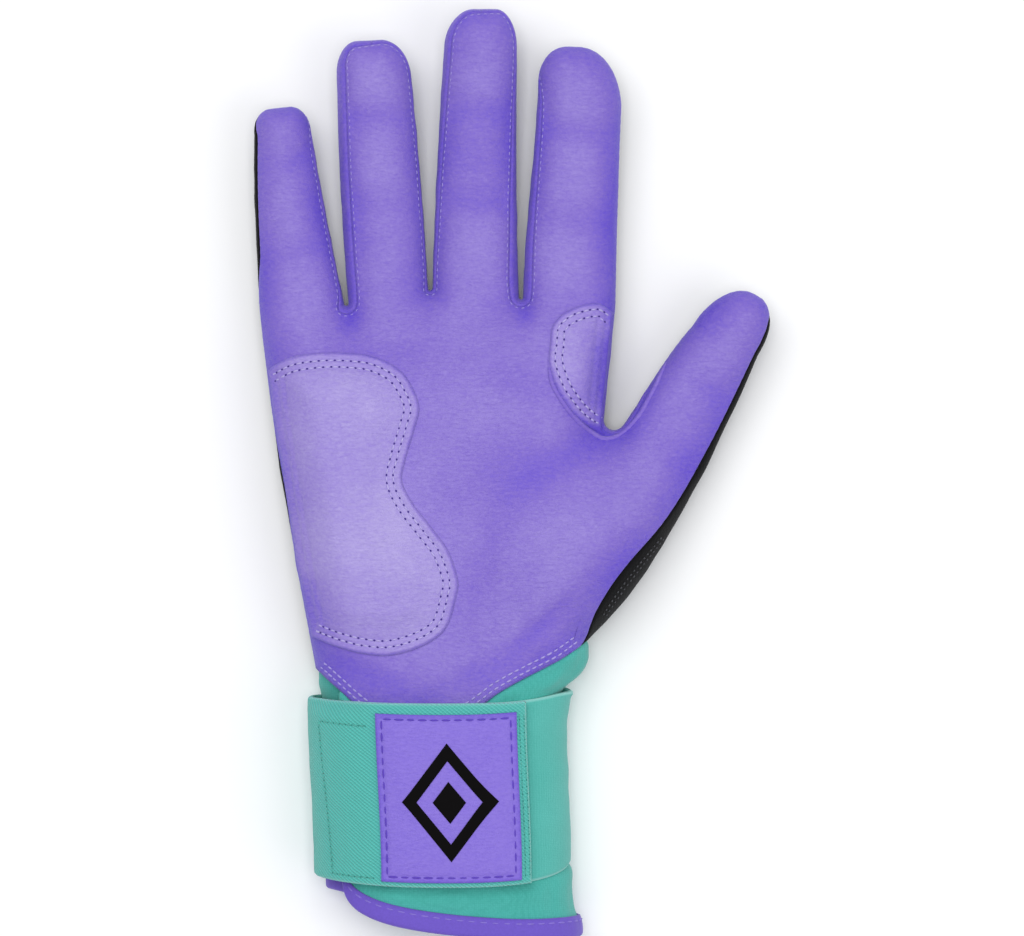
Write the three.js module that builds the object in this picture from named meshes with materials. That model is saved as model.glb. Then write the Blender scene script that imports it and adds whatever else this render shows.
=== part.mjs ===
// Batting glove for the right hand, lying on its back with the palm up.
// Millimetres, +Z up out of the palm, +Y to the fingertips, +X to the thumb side.
// The origin is on the flat of the back, under the middle of the palm.

import * as THREE from 'three';

// Leather, fabric and seams
const leather = 1.0;
const fabric = 1.0;
const neoprene = 1.4;
const seamGap = 0.35;

// Hand outline, seen on the palm
const palmLeft = -51.9;
const knuckleY = 57.0;
const crotchRadius = 0.6;
const littleBaseDrop = 1.3;
const indexBaseDrop = 0.7;
const tipCorner = 45;
const ulnarBow = 2.1;
const little = {
  name: 'little', baseWidth: 24.6, length: 57.8, lean: -6.3, tipWidth: 15.9, crotchRise: 0.1,
  leftRound: [6.2, 7.4], rightRound: [5.4, 7.2], leftBow: [0.9, 0.9], rightBow: [-0.4, -0.4],
  leftSeam: [4.6, 4.4], rightSeam: [3.4, 2.8],
};
const ring = {
  name: 'ring', baseWidth: 24.4, length: 74.0, lean: -3.6, tipWidth: 21.5, crotchRise: 4.5,
  leftRound: [6.2, 9.0], rightRound: [7.5, 9.0], leftBow: [0.9, 0.9], rightBow: [0.4, 0.4],
  leftSeam: [7.0, 6.8], rightSeam: [3.0, 2.8],
};
const middle = {
  name: 'middle', baseWidth: 26.4, length: 81.9, lean: 1.2, tipWidth: 21.2, crotchRise: 1.9,
  leftRound: [8.7, 11.6], rightRound: [6.2, 11.6], leftBow: [0.5, 0.5], rightBow: [-0.6, -0.6],
  leftSeam: [3.6, 6.0], rightSeam: [7.0, 3.2],
};
const index = {
  name: 'index', baseWidth: 27.5, length: 73.7, lean: 2.6, tipWidth: 23.6, crotchRise: 0,
  leftRound: [6.0, 8.6], rightRound: [13.0, 18.6], leftBow: [1.2, -0.9], rightBow: [-0.5, -0.5],
  leftSeam: [6.6, 4.4], rightSeam: [1.2, 1.2],
};
const fingers = [little, ring, middle, index];

// Thumb, measured from the centre of its crotch
const thumb = {
  lean: 31, length: 53.5, tipOffset: 14.5, tipWidth: 20.3, crotchRadius: 3.0,
  leftRound: [10.6, 17.0], rightRound: [8.6, 14.8], leftBow: [0.8, 0.8], rightBow: [4.6, 3.4],
};
const thumbCrotchInset = 0.4;
const thumbCrotchDrop = 34.5;

// Wrist, strap zone and cuff mouth: centre, half width and place along the glove
const wrist = { y: -45.0, centre: 3.3, half: 40.0 };
const strapTop = { y: -57.0, centre: 0.1, half: 35.1 };
const strapBottom = { y: -108.0, centre: 1.8, half: 34.8 };
const mouth = { y: -126.0, centre: 3.3, half: 37.4 };
const hemTilt = 3.0;
const hemDrop = 20.0;
const backHemDrop = 3.0;
const hemGap = 0.7;
const hemSkew = 0.85;
const hemAimShare = 0.1;

// Thickness of the hand inside: height of the side seams, and crown and edge round of each region
const seamHeight = 13.0;
const palmForm = { front: 15.5, back: 13.0, round: 18.0 };
const digitForm = { front: 8.5, back: 8.5, round: 11.0 };
const cuffForm = { front: 17.5, back: 10.6, round: 24.0 };
const digitBlend = { below: 26.0, above: 4.0 };
const thumbBlend = { below: 30.0, above: 6.0, inside: 16.0, outside: 2.0 };
const cuffBlend = { from: 36.0, to: 56.0 };
const fingerCurl = 8.0;
const curlLength = 85.0;
const thumbLift = 4.0;
const thenarMound = { x: 33.0, y: -14.0, reach: 24.0, height: 3.5 };
const heelMound = { x: -26.0, y: -10.0, reach: 30.0, height: 2.5 };

// Seams, as lengths over the side from the mid-line, palm side positive
const sideSeam = 1.2;
const crotchSeam = 6.2;
const fourchetteBack = 6.2;
const webHalf = 4.5;
const thumbSeam = [10.5, 16.5, 14.5, 10.0, 7.5, 6.0, 5.0, 3.0];
const tipSeam = 0.9;
const coreAngle = 55;
const weld = 0.0035;

// Patches on the palm
const patchThickness = 1.0;
const patchGap = 0.45;
const padThickness = 1.8;
const padMargin = 8.5;
const padEdge = 0.6;
const heelPatch = { top: 39.0, bottom: -41.0, crown: 3.5, width: 50.0, inset: 1.3 };
const indexPatch = { top: 55.0, bottom: 24.5, width: 17.0, inset: 2.6 };

// Cuff, its flap and its binding
const flapAngle = 33;
const underlapAngle = 54;
const underlapDepth = 3.9;
const underlapBlend = { from: 345, to: 389 };
const probeAngle = 2;
const flapCorner = { across: 54.0, along: 15.0 };
const ulnarMouthRise = 12.4;
const binding = { height: 5.5, thickness: 0.7 };

// Strap and its fastener
const strap = { width: 51.0, y: -85.6, rise: 3.4, rootAngle: -14, rampAngle: 30, endX: 23.4 };
const bandThickness = 1.2;
const loopThickness = 0.7;
const hookThickness = 0.8;
const tabThickness = 1.2;
const hookInset = 3.5;
const bandStartAngle = 38;
const hookStartAngle = 42;
const patch = { left: -16.4, right: 20.4, height: 48.0, thickness: 1.0 };

// Numbers of facets
const crotchSteps = 2;
const sideSteps = 5;
const thumbSideSteps = 6;
const radialSteps = 3;
const fingerColumns = 4;
const thumbColumns = 6;
const ringRows = 3;
const girthSteps = 48;
const heelColumns = 12;
const crowding = 1.7;
const padRampRows = 2;
const indexColumns = 8;
const cuffSideSteps = 16;

// Small tools
const radians = (degrees) => THREE.MathUtils.degToRad(degrees);
const smooth = (value, from, to) => THREE.MathUtils.smoothstep(value, from, to);
const mix = (from, to, share) => THREE.MathUtils.lerp(from, to, share);
const point = (x, y) => new THREE.Vector2(x, y);
const steps = (count) => Array.from({ length: count + 1 }, (unused, index) => index / count);

// A ray starts on the silhouette and points into the hand.
const makeRay = (edge, inward, reach = Infinity) => ({ edge, inward, reach });
// At the wrist's corners a ray follows the hem, which differs between palm and back.
const inwardOf = (ray, side) => (side < 0 ? ray.inwardBack ?? ray.inward : ray.inward);
const along = (ray, inset, side) => (
  ray.edge.clone().addScaledVector(inwardOf(ray, side), Math.min(inset, ray.reach)));

// Side of a digit from its base to its shoulder; hand is +1 on the left side and -1 on the right.
function sideRays(base, shoulder, bow, hand, count) {
  const outward = shoulder.clone().sub(base).normalize();
  outward.set(-outward.y * hand, outward.x * hand);
  const control = (share, size) => base.clone().lerp(shoulder, share).addScaledVector(outward, size);
  const curve = new THREE.CubicBezierCurve(base, control(1 / 3, bow[0]), control(2 / 3, bow[1]), shoulder);
  return steps(count).map((share) => {
    const tangent = curve.getTangent(share);
    return makeRay(curve.getPoint(share), point(tangent.y * hand, -tangent.x * hand));
  });
}

// Rays round a fingertip between its two shoulders, each corner a quarter of an ellipse.
function tipRays(frame, digit, columns) {
  const half = digit.tipWidth / 2;
  const offset = digit.tipOffset ?? 0;
  const arc = (side, round, degrees) => {
    const direction = point(side * Math.cos(radians(degrees)), Math.sin(radians(degrees)));
    const centre = point(offset + side * (half - round[0]), digit.length - round[1]);
    const edge = centre.add(point(direction.x * round[0], direction.y * round[1]));
    const reach = Math.min(round[0], round[1]) - seamGap;
    return makeRay(frame.place(edge), frame.turn(direction.negate()), reach);
  };
  const middle = makeRay(frame.place(point(offset, digit.length)), frame.turn(point(0, -1)));
  const upper = steps(columns / 2).slice(0, -1).map((share) => mix(tipCorner, 90, share));
  const left = upper.map((degrees) => arc(-1, digit.leftRound, degrees));
  const right = upper.map((degrees) => arc(1, digit.rightRound, degrees));
  return {
    leftArc: [arc(-1, digit.leftRound, tipCorner / 2)],
    top: [...left, middle, ...right.reverse()],
    rightArc: [arc(1, digit.rightRound, tipCorner / 2)],
  };
}

// The frame of a digit: its origin, and across and along directions turned by its lean.
function digitFrame(origin, lean) {
  const axis = point(Math.sin(radians(lean)), Math.cos(radians(lean)));
  const turn = (v) => point(v.x * axis.y + v.y * axis.x, v.y * axis.y - v.x * axis.x);
  const local = (v) => {
    const d = v.clone().sub(origin);
    return point(d.x * axis.y - d.y * axis.x, d.x * axis.x + d.y * axis.y);
  };
  return { turn, local, place: (v) => turn(v).add(origin) };
}

// Rays round the bottom of a crotch, from the side of one digit to the side of the next.
function crotchRays(centre, radius, from, to) {
  const start = Math.atan2(from.y, from.x);
  let end = Math.atan2(to.y, to.x);
  if (end < start) end += 2 * Math.PI;
  return steps(2 * crotchSteps).map((share) => {
    const angle = mix(start, end, share);
    const direction = point(Math.cos(angle), Math.sin(angle));
    return makeRay(centre.clone().addScaledVector(direction, radius), direction);
  });
}

// Wrist and cuff: the silhouette's centre and half width at a place along the glove.
function cuffSection(y) {
  const stations = [wrist, strapTop, strapBottom, mouth];
  let centre = wrist.centre;
  let half = wrist.half;
  for (let i = 1; i < stations.length; i += 1) {
    const share = smooth(-y, -stations[i - 1].y, -stations[i].y);
    centre += (stations[i].centre - stations[i - 1].centre) * share;
    half += (stations[i].half - stations[i - 1].half) * share;
  }
  return { left: centre - half, right: centre + half };
}
const hemLeftY = wrist.y - hemTilt;
const hemRightY = wrist.y + hemTilt;
const frontHem = (share) => mix(hemLeftY, hemRightY, share) - hemDrop * Math.sin(Math.PI * share ** hemSkew);
const backHem = (share) => mix(hemLeftY, hemRightY, share) - backHemDrop * Math.sin(Math.PI * share);
function hemPoint(hem, share) {
  const section = cuffSection(hem(share));
  return point(mix(section.left, section.right, share), hem(share));
}
const wristCorner = (y, side) => point(side < 0 ? cuffSection(y).left : cuffSection(y).right, y);

// The whole silhouette, from the wrist's little-finger corner round to its thumb corner.
function buildSilhouette() {
  const crotches = [];
  let x = palmLeft;
  for (const finger of fingers.slice(0, -1)) {
    x += finger.baseWidth;
    crotches.push(point(x, knuckleY + finger.crotchRise));
  }
  const indexBase = point(x + fingers.at(-1).baseWidth, knuckleY - indexBaseDrop);
  const littleBase = point(palmLeft, knuckleY - littleBaseDrop);
  const anchors = [littleBase, ...crotches, indexBase];
  const frames = fingers.map((finger, i) => (
    digitFrame(anchors[i].clone().lerp(anchors[i + 1], 1 / 2), finger.lean)));
  const thumbCrotch = point(indexBase.x - thumbCrotchInset, indexBase.y - thumbCrotchDrop);
  frames.push(digitFrame(thumbCrotch, thumb.lean));
  const shoulder = (digit, i, side) => {
    const round = side < 0 ? digit.leftRound : digit.rightRound;
    const place = point((digit.tipOffset ?? 0) + side * digit.tipWidth / 2, digit.length - round[1]);
    return frames[i].place(place);
  };
  const inwardNormal = (from, to, hand) => {
    const d = to.clone().sub(from).normalize();
    return point(d.y * hand, -d.x * hand);
  };
  const parts = [];
  const add = (name, list) => parts.push({ name, list });
  const outerSteps = crotchSteps + sideSteps;
  const ulnarSteps = thumbColumns + crotchSteps + radialSteps;
  const hemLeft = wristCorner(hemLeftY, -1);
  const hemRight = wristCorner(hemRightY, 1);
  add('ulnar', sideRays(hemLeft, littleBase, [ulnarBow, ulnarBow], 1, ulnarSteps));
  fingers.forEach((finger, i) => {
    const tip = tipRays(frames[i], finger, fingerColumns);
    const left = shoulder(finger, i, -1);
    const right = shoulder(finger, i, 1);
    if (i === 0) {
      add(`${finger.name}.left`, sideRays(littleBase, left, finger.leftBow, 1, outerSteps).slice(1));
    } else {
      const normal = inwardNormal(crotches[i - 1], left, 1);
      const base = crotches[i - 1].clone().addScaledVector(normal, crotchRadius);
      add(`${finger.name}.left`, sideRays(base, left, finger.leftBow, 1, sideSteps).slice(1));
    }
    add(`${finger.name}.leftArc`, tip.leftArc);
    add(`${finger.name}.top`, tip.top);
    add(`${finger.name}.rightArc`, tip.rightArc);
    if (i === fingers.length - 1) {
      add(`${finger.name}.right`, sideRays(indexBase, right, finger.rightBow, -1, outerSteps).reverse());
      return;
    }
    const normal = inwardNormal(crotches[i], right, -1);
    const base = crotches[i].clone().addScaledVector(normal, crotchRadius);
    const rightSide = sideRays(base, right, finger.rightBow, -1, sideSteps).reverse();
    add(`${finger.name}.right`, rightSide.slice(0, -1));
    const next = inwardNormal(crotches[i], shoulder(fingers[i + 1], i + 1, -1), 1);
    add(`crotch.${i}`, crotchRays(crotches[i], crotchRadius, normal, next));
  });
  const thumbIndex = fingers.length;
  const thumbLeft = shoulder(thumb, thumbIndex, -1);
  const radialNormal = inwardNormal(thumbCrotch, indexBase, -1);
  const innerNormal = inwardNormal(thumbCrotch, thumbLeft, 1);
  const radialFoot = thumbCrotch.clone().addScaledVector(radialNormal, thumb.crotchRadius);
  const innerFoot = thumbCrotch.clone().addScaledVector(innerNormal, thumb.crotchRadius);
  add('radial', sideRays(radialFoot, indexBase, [0, 0], -1, radialSteps).reverse().slice(1, -1));
  add('crotch.thumb', crotchRays(thumbCrotch, thumb.crotchRadius, radialNormal, innerNormal));
  add('thumb.left', sideRays(innerFoot, thumbLeft, thumb.leftBow, 1, thumbSideSteps).slice(1));
  const tip = tipRays(frames[thumbIndex], thumb, thumbColumns);
  add('thumb.leftArc', tip.leftArc);
  add('thumb.top', tip.top);
  add('thumb.rightArc', tip.rightArc);
  const thumbRight = shoulder(thumb, thumbIndex, 1);
  const outer = sideRays(hemRight, thumbRight, thumb.rightBow, -1, crotchSteps + thumbSideSteps);
  add('thumb.right', outer.reverse());
  const rays = parts.flatMap((part) => part.list);
  const start = {};
  let count = 0;
  for (const part of parts) {
    start[part.name] = count;
    count += part.list.length;
  }
  return { rays, start, thumbFrame: frames[thumbIndex] };
}
const silhouette = buildSilhouette();

// Turns the first and last rays along the hems of the palm and the back.
function turnAlongHems(rays) {
  for (const [ray, share] of [[rays[0], hemAimShare], [rays.at(-1), 1 - hemAimShare]]) {
    const toward = (hem) => hemPoint(hem, share).sub(ray.edge).normalize();
    ray.facing = ray.inward.clone().negate();
    ray.inward = toward(frontHem);
    ray.inwardBack = toward(backHem);
  }
}
turnAlongHems(silhouette.rays);

// The silhouette as a line, carried on past the cuff's mouth so that the cuff stays open there.
function buildBorder() {
  const end = mouth.y - (wrist.y - mouth.y);
  const cuffSide = (side) => steps(cuffSideSteps).map((share) => (
    wristCorner(mix(wrist.y, end, share), side)));
  const left = cuffSide(-1).filter((p) => p.y < hemLeftY - seamGap).reverse();
  const right = cuffSide(1).filter((p) => p.y < hemRightY - seamGap);
  return [...left, ...silhouette.rays.map((ray) => ray.edge), ...right];
}
const border = buildBorder();

function distanceToBorder(x, y) {
  let least = Infinity;
  for (let i = 1; i < border.length; i += 1) {
    const a = border[i - 1];
    const dx = border[i].x - a.x;
    const dy = border[i].y - a.y;
    const length = dx * dx + dy * dy || 1;
    const share = THREE.MathUtils.clamp(((x - a.x) * dx + (y - a.y) * dy) / length, 0, 1);
    least = Math.min(least, Math.hypot(x - a.x - dx * share, y - a.y - dy * share));
  }
  return least;
}

// How far a place belongs to the fingers, the thumb and the cuff, each from 0 to 1.
function regions(x, y) {
  const local = silhouette.thumbFrame.local(point(x, y));
  const inThumb = smooth(local.x, -thumbBlend.inside, thumbBlend.outside);
  return {
    finger: smooth(y, knuckleY - digitBlend.below, knuckleY + digitBlend.above),
    thumb: smooth(local.y, -thumbBlend.below, thumbBlend.above) * inThumb,
    cuff: smooth(-y, cuffBlend.from, cuffBlend.to),
    curl: Math.max(0, (y - knuckleY) / curlLength),
    lift: Math.max(0, local.y / thumb.length) * inThumb,
  };
}

// Crown, edge round and seam height of the hand form; side is +1 on the palm and -1 on the back.
function formSizes(x, y, side) {
  const region = regions(x, y);
  const digit = 1 - (1 - region.finger) * (1 - region.thumb);
  const key = side > 0 ? 'front' : 'back';
  let crown = mix(mix(palmForm[key], digitForm[key], digit), cuffForm[key], region.cuff);
  if (side > 0) {
    for (const mound of [thenarMound, heelMound]) {
      const reach = Math.hypot(x - mound.x, y - mound.y) / mound.reach;
      crown += mound.height * Math.exp(-reach * reach) * (1 - region.cuff);
    }
  }
  return {
    crown,
    round: mix(mix(palmForm.round, digitForm.round, digit), cuffForm.round, region.cuff),
    middle: seamHeight + fingerCurl * region.curl ** 2 + thumbLift * region.lift ** 2,
  };
}
function formPoint(x, y, side) {
  const sizes = formSizes(x, y, side);
  const share = Math.min(1, distanceToBorder(x, y) / sizes.round);
  return new THREE.Vector3(x, y, sizes.middle + side * sizes.crown * Math.sqrt(1 - (1 - share) ** 2));
}

// Point above the palm side of the form, off its surface by an offset.
function overForm(x, y, offset) {
  const reach = seamGap;
  const right = formPoint(x + reach, y, 1).sub(formPoint(x - reach, y, 1));
  const up = formPoint(x, y + reach, 1).sub(formPoint(x, y - reach, 1));
  return formPoint(x, y, 1).addScaledVector(right.cross(up).normalize(), offset);
}

// A sheet is a surface of shared points and triangles that face out of the glove.
class Sheet {
  constructor() {
    this.points = [];
    this.normals = [];
    this.faces = [];
    this.lookup = new Map();
  }

  add({ position, normal }) {
    const key = position.toArray().map((value) => Math.round(value / weld)).join();
    if (!this.lookup.has(key)) {
      this.lookup.set(key, this.points.length);
      this.points.push(position.clone());
      this.normals.push(normal);
    }
    return this.lookup.get(key);
  }

  face(a, b, c) {
    if (a !== b && b !== c && c !== a) this.faces.push([a, b, c]);
  }

  geometry() {
    const geometry = new THREE.BufferGeometry().setFromPoints(this.points);
    geometry.setIndex(this.faces.flat());
    geometry.computeVertexNormals();
    return geometry;
  }

  // Rows of points become quads; flip turns them over. A point may bring its own normal.
  grid(rows, flip = false) {
    const index = rows.map((row) => row.map((item) => this.add(item.position ? item : { position: item })));
    for (let i = 1; i < index.length; i += 1) {
      for (let j = 1; j < index[i].length; j += 1) {
        const [a, b, c, d] = [index[i - 1][j - 1], index[i - 1][j], index[i][j], index[i][j - 1]];
        if (flip) {
          this.face(a, c, b);
          this.face(a, d, c);
        } else {
          this.face(a, b, c);
          this.face(a, c, d);
        }
      }
    }
    return this;
  }
}

// A sheet with a thickness under it, as one closed body.
function thicken(sheet, thickness) {
  const normals = sheet.points.map(() => new THREE.Vector3());
  for (const face of sheet.faces) {
    const [a, b, c] = face.map((index) => sheet.points[index]);
    const normal = b.clone().sub(a).cross(c.clone().sub(a));
    face.forEach((index) => normals[index].add(normal));
  }
  const count = sheet.points.length;
  const under = sheet.points.map((position, i) => (
    position.clone().addScaledVector(sheet.normals[i] ?? normals[i].normalize(), -thickness)));
  const edges = new Set(sheet.faces.flatMap(([a, b, c]) => [`${a},${b}`, `${b},${c}`, `${c},${a}`]));
  const index = [];
  for (const [a, b, c] of sheet.faces) {
    index.push(a, b, c, a + count, c + count, b + count);
  }
  for (const edge of edges) {
    const [a, b] = edge.split(',').map(Number);
    if (!edges.has(`${b},${a}`)) index.push(b, a, a + count, b, a + count, b + count);
  }
  const geometry = new THREE.BufferGeometry().setFromPoints([...sheet.points, ...under]);
  geometry.setIndex(index);
  geometry.computeVertexNormals();
  return geometry;
}

// Fills the space between four sides, each a list of points, with a grid.
function fillBetween(bottom, top, left, right) {
  const rows = left.length - 1;
  const columns = bottom.length - 1;
  return left.map((leftPoint, i) => bottom.map((bottomPoint, j) => {
    const v = i / rows;
    const u = j / columns;
    const blend = (key) => (
      mix(leftPoint[key], right[i][key], u) + mix(bottomPoint[key], top[j][key], v)
      - mix(mix(bottom[0][key], bottom[columns][key], u), mix(top[0][key], top[columns][key], u), v));
    return point(blend('x'), blend('y'));
  }));
}
const lineBetween = (from, to, count) => steps(count).map((share) => from.clone().lerp(to, share));
const crowded = (share) => share ** crowding;

// Length of the seams over the side of the form at each ray: [palm panel's seam, back panel's seam].
function buildSeams() {
  const { rays, start } = silhouette;
  const seams = rays.map(() => [sideSeam, sideSeam]);
  const fill = (from, to, value) => {
    for (let i = from; i < to; i += 1) seams[i] = value(i, (i - from) / (to - from));
  };
  const between = ([base, tip], share) => mix(base, tip, share);
  fill(start['little.left'], start['little.leftArc'], (i, share) => {
    const length = between(little.leftSeam, share);
    return [length, length];
  });
  for (let i = 0; i < fingers.length - 1; i += 1) {
    const [left, right] = [fingers[i], fingers[i + 1]];
    const from = start[`${left.name}.right`];
    const crotch = start[`crotch.${i}`];
    const next = start[`${right.name}.left`];
    const to = start[`${right.name}.leftArc`];
    fill(from, crotch, (k, share) => [between(left.rightSeam, 1 - share), -fourchetteBack]);
    fill(crotch, next, () => [crotchSeam, -fourchetteBack]);
    fill(next, to, (k, share) => [between(right.leftSeam, share), -fourchetteBack]);
    for (const end of [from, to - 1]) seams[end] = [fourchetteBack / 2, -fourchetteBack / 2];
    for (const end of [from - 1, to]) seams[end] = [sideSeam + tipSeam, -tipSeam];
  }
  const webStart = start['radial'];
  const webEnd = start['thumb.left'] + thumbSideSteps / 2;
  fill(webStart, webEnd, () => [webHalf, -webHalf]);
  seams[webStart] = [webHalf / 2, -webHalf / 4];
  seams[webEnd - 1] = [webHalf / 2, -webHalf / 4];
  const last = rays.length - 1;
  const outer = start['thumb.right'];
  fill(outer, rays.length, (i) => {
    const place = (last - i) / (last - outer) * (thumbSeam.length - 1);
    const low = Math.min(Math.floor(place), thumbSeam.length - 2);
    const length = mix(thumbSeam[low], thumbSeam[low + 1], place - low);
    return [length, length];
  });
  seams[start['thumb.rightArc']] = [2 * sideSeam, 2 * sideSeam];
  return { seams, webStart, webEnd };
}
const { seams, webStart, webEnd } = buildSeams();

// Point on the form at a length over the side from the silhouette, palm side positive.
function overSide(ray, length) {
  const side = length < 0 ? -1 : 1;
  const sizes = formSizes(ray.edge.x, ray.edge.y, side);
  const angle = Math.min(Math.abs(length) / ((sizes.crown + sizes.round) / 2), Math.PI / 2);
  const place = along(ray, sizes.round * (1 - Math.cos(angle)), side);
  const facing = ray.facing ?? ray.inward.clone().negate();
  const outward = facing.clone().multiplyScalar(sizes.crown * Math.cos(angle));
  const rise = side * sizes.round * Math.sin(angle);
  const normal = new THREE.Vector3(outward.x, outward.y, rise).normalize();
  return { place, normal, position: formPoint(place.x, place.y, side) };
}
const coreLength = (ray, side) => {
  const sizes = formSizes(ray.edge.x, ray.edge.y, side);
  return side * radians(coreAngle) * (sizes.crown + sizes.round) / 2;
};

// One panel's rays with their seam on this panel's side.
function panelRays(side) {
  return silhouette.rays.map((ray, i) => {
    const seam = side > 0 ? seams[i][0] + seamGap / 2 : seams[i][1] - seamGap / 2;
    const reach = Math.abs(coreLength(ray, side));
    const core = side > 0 ? Math.max(reach, seam + sideSeam + tipSeam) : -reach;
    return { ...ray, seam, core };
  });
}

// Ring of rows between a panel's seam and its core, along a run of rays.
function addRing(sheet, rays, side) {
  const rows = rays.map((ray) => steps(ringRows).map((share) => {
    const place = overSide(ray, mix(ray.seam, ray.core, share));
    if (ray.shift) place.position.add(ray.shift);
    return share < 1 ? place : { position: place.position };
  }));
  sheet.grid(rows, side < 0);
}
const corePlace = (ray) => {
  const place = overSide(ray, ray.core).place;
  return ray.shift ? place.add(point(ray.shift.x, ray.shift.y)) : place;
};
const lift = (rows, side) => rows.map((row) => row.map((p) => formPoint(p.x, p.y, side)));

// Sides of the blocks that fill a panel, as runs of places on its core.
function coreRuns(rays) {
  const { start } = silhouette;
  const places = rays.map(corePlace);
  const names = fingers.map((finger) => finger.name);
  const bottoms = names.slice(1).map((name, i) => start[`crotch.${i}`] + crotchSteps);
  const corners = [start['little.left'] - 1, ...bottoms, start['radial'] - 1];
  const run = (from, to) => (
    from <= to ? places.slice(from, to + 1) : places.slice(to, from + 1).reverse());
  return { places, corners, run, names, start, thumbBottom: start['crotch.thumb'] + crotchSteps };
}

// Blocks of the four fingers and the palm; divider is the palm's edge to the thumb, from the hem up.
function addHandBlocks(sheet, rays, side, hem, divider) {
  const { corners, run, names, start, thumbBottom, places } = coreRuns(rays);
  const baseLines = [];
  names.forEach((name, i) => {
    const base = lineBetween(places[corners[i]], places[corners[i + 1]], fingerColumns);
    const topStart = start[`${name}.top`];
    const top = run(topStart, topStart + fingerColumns);
    const left = run(corners[i], topStart);
    const right = run(corners[i + 1], topStart + fingerColumns);
    sheet.grid(lift(fillBetween(base, top, left, right), side), side < 0);
    baseLines.push(...(i === 0 ? base : base.slice(1)));
  });
  const left = run(0, corners[0]);
  const right = [...divider, ...run(thumbBottom, corners.at(-1)).slice(1)];
  const acrossShare = (p) => {
    const section = cuffSection(p.y);
    return (p.x - section.left) / (section.right - section.left);
  };
  const foot = steps(baseLines.length - 1).map((share) => (
    hemPoint(hem, mix(acrossShare(left[0]), acrossShare(right[0]), share))));
  foot[0] = left[0];
  foot[foot.length - 1] = right[0];
  sheet.grid(lift(fillBetween(foot, baseLines, left, right), side), side < 0);
}

// Block of the thumb; divider is its edge to the palm, from the hem up.
function addThumbBlock(sheet, rays, side, divider) {
  const { run, start, thumbBottom } = coreRuns(rays);
  const topStart = start['thumb.top'];
  const left = run(thumbBottom, topStart);
  const right = run(rays.length - 1, topStart + thumbColumns);
  const base = divider.slice().reverse();
  const top = run(topStart, topStart + thumbColumns);
  sheet.grid(lift(fillBetween(base, top, left, right), side), side < 0);
}

function palmPanel() {
  const rays = panelRays(1);
  const sheet = new Sheet();
  addRing(sheet, rays, 1);
  const { places, thumbBottom } = coreRuns(rays);
  const divider = lineBetween(places.at(-1), places[thumbBottom], thumbColumns);
  addHandBlocks(sheet, rays, 1, frontHem, divider);
  addThumbBlock(sheet, rays, 1, divider);
  return thicken(sheet, leather);
}

// The two back panels meet along a line from the thumb's crotch to the wrist.
function backPanels() {
  const rays = panelRays(-1);
  const { places, thumbBottom } = coreRuns(rays);
  const seam = places[thumbBottom].clone().sub(places.at(-1)).normalize();
  const across = new THREE.Vector3(seam.y, -seam.x, 0);
  const shifted = (amount, indices) => rays.map((ray, i) => (
    indices.includes(i) ? { ...ray, shift: across.clone().multiplyScalar(amount) } : ray));
  const ends = [thumbBottom, rays.length - 1];
  const build = (amount, from, to, fill) => {
    const own = shifted(amount, ends);
    const sheet = new Sheet();
    addRing(sheet, own.slice(from, to + 1), -1);
    const ownPlaces = coreRuns(own).places;
    const divider = lineBetween(ownPlaces.at(-1), ownPlaces[thumbBottom], thumbColumns);
    fill(sheet, own, divider);
    return thicken(sheet, fabric);
  };
  return {
    hand: build(-seamGap, 0, thumbBottom, (sheet, own, divider) => (
      addHandBlocks(sheet, own, -1, backHem, divider))),
    thumb: build(seamGap, thumbBottom, rays.length - 1, (sheet, own, divider) => (
      addThumbBlock(sheet, own, -1, divider))),
  };
}

// Side strip between the palm's and the back's seams along a run of rays.
function sideStrip(from, to) {
  const rows = [];
  for (let i = from; i <= to; i += 1) {
    const front = seams[i][0] - seamGap / 2;
    const back = seams[i][1] + seamGap / 2;
    const lengths = [front, front / 2, 0, back / 2, back];
    rows.push(lengths.map((length) => overSide(silhouette.rays[i], length)).reverse());
  }
  return thicken(new Sheet().grid(rows), leather);
}
const fourchette = (left, right) => (
  sideStrip(silhouette.start[`${left}.right`] - 1, silhouette.start[`${right}.leftArc`]));

// Sheet laid over the palm inside four sides.
function overlay(sides, offsetAt, thickness) {
  const places = fillBetween(...sides);
  const rows = places.map((row, i) => row.map((p, j) => {
    const edge = Math.min(i, j, places.length - 1 - i, row.length - 1 - j);
    return overForm(p.x, p.y, offsetAt(edge) + thickness);
  }));
  return thicken(new Sheet().grid(rows), thickness);
}
function sideAt(y, side, inset) {
  const { rays, start } = silhouette;
  const [from, to] = side < 0 ? [0, start['little.left']] : [start['index.right'], start['crotch.thumb']];
  const run = rays.slice(from, to);
  const nearest = run.reduce((best, ray, i) => (
    Math.abs(ray.edge.y - y) < Math.abs(run[best].edge.y - y) ? i : best), 0);
  const before = run[nearest].edge.y > y === side < 0 ? 1 : 0;
  const first = Math.max(0, Math.min(nearest, run.length - 2) - before);
  const a = run[first].edge;
  const b = run[first + 1].edge;
  return point(mix(a.x, b.x, (y - a.y) / (b.y - a.y)) - side * inset, y);
}

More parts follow.
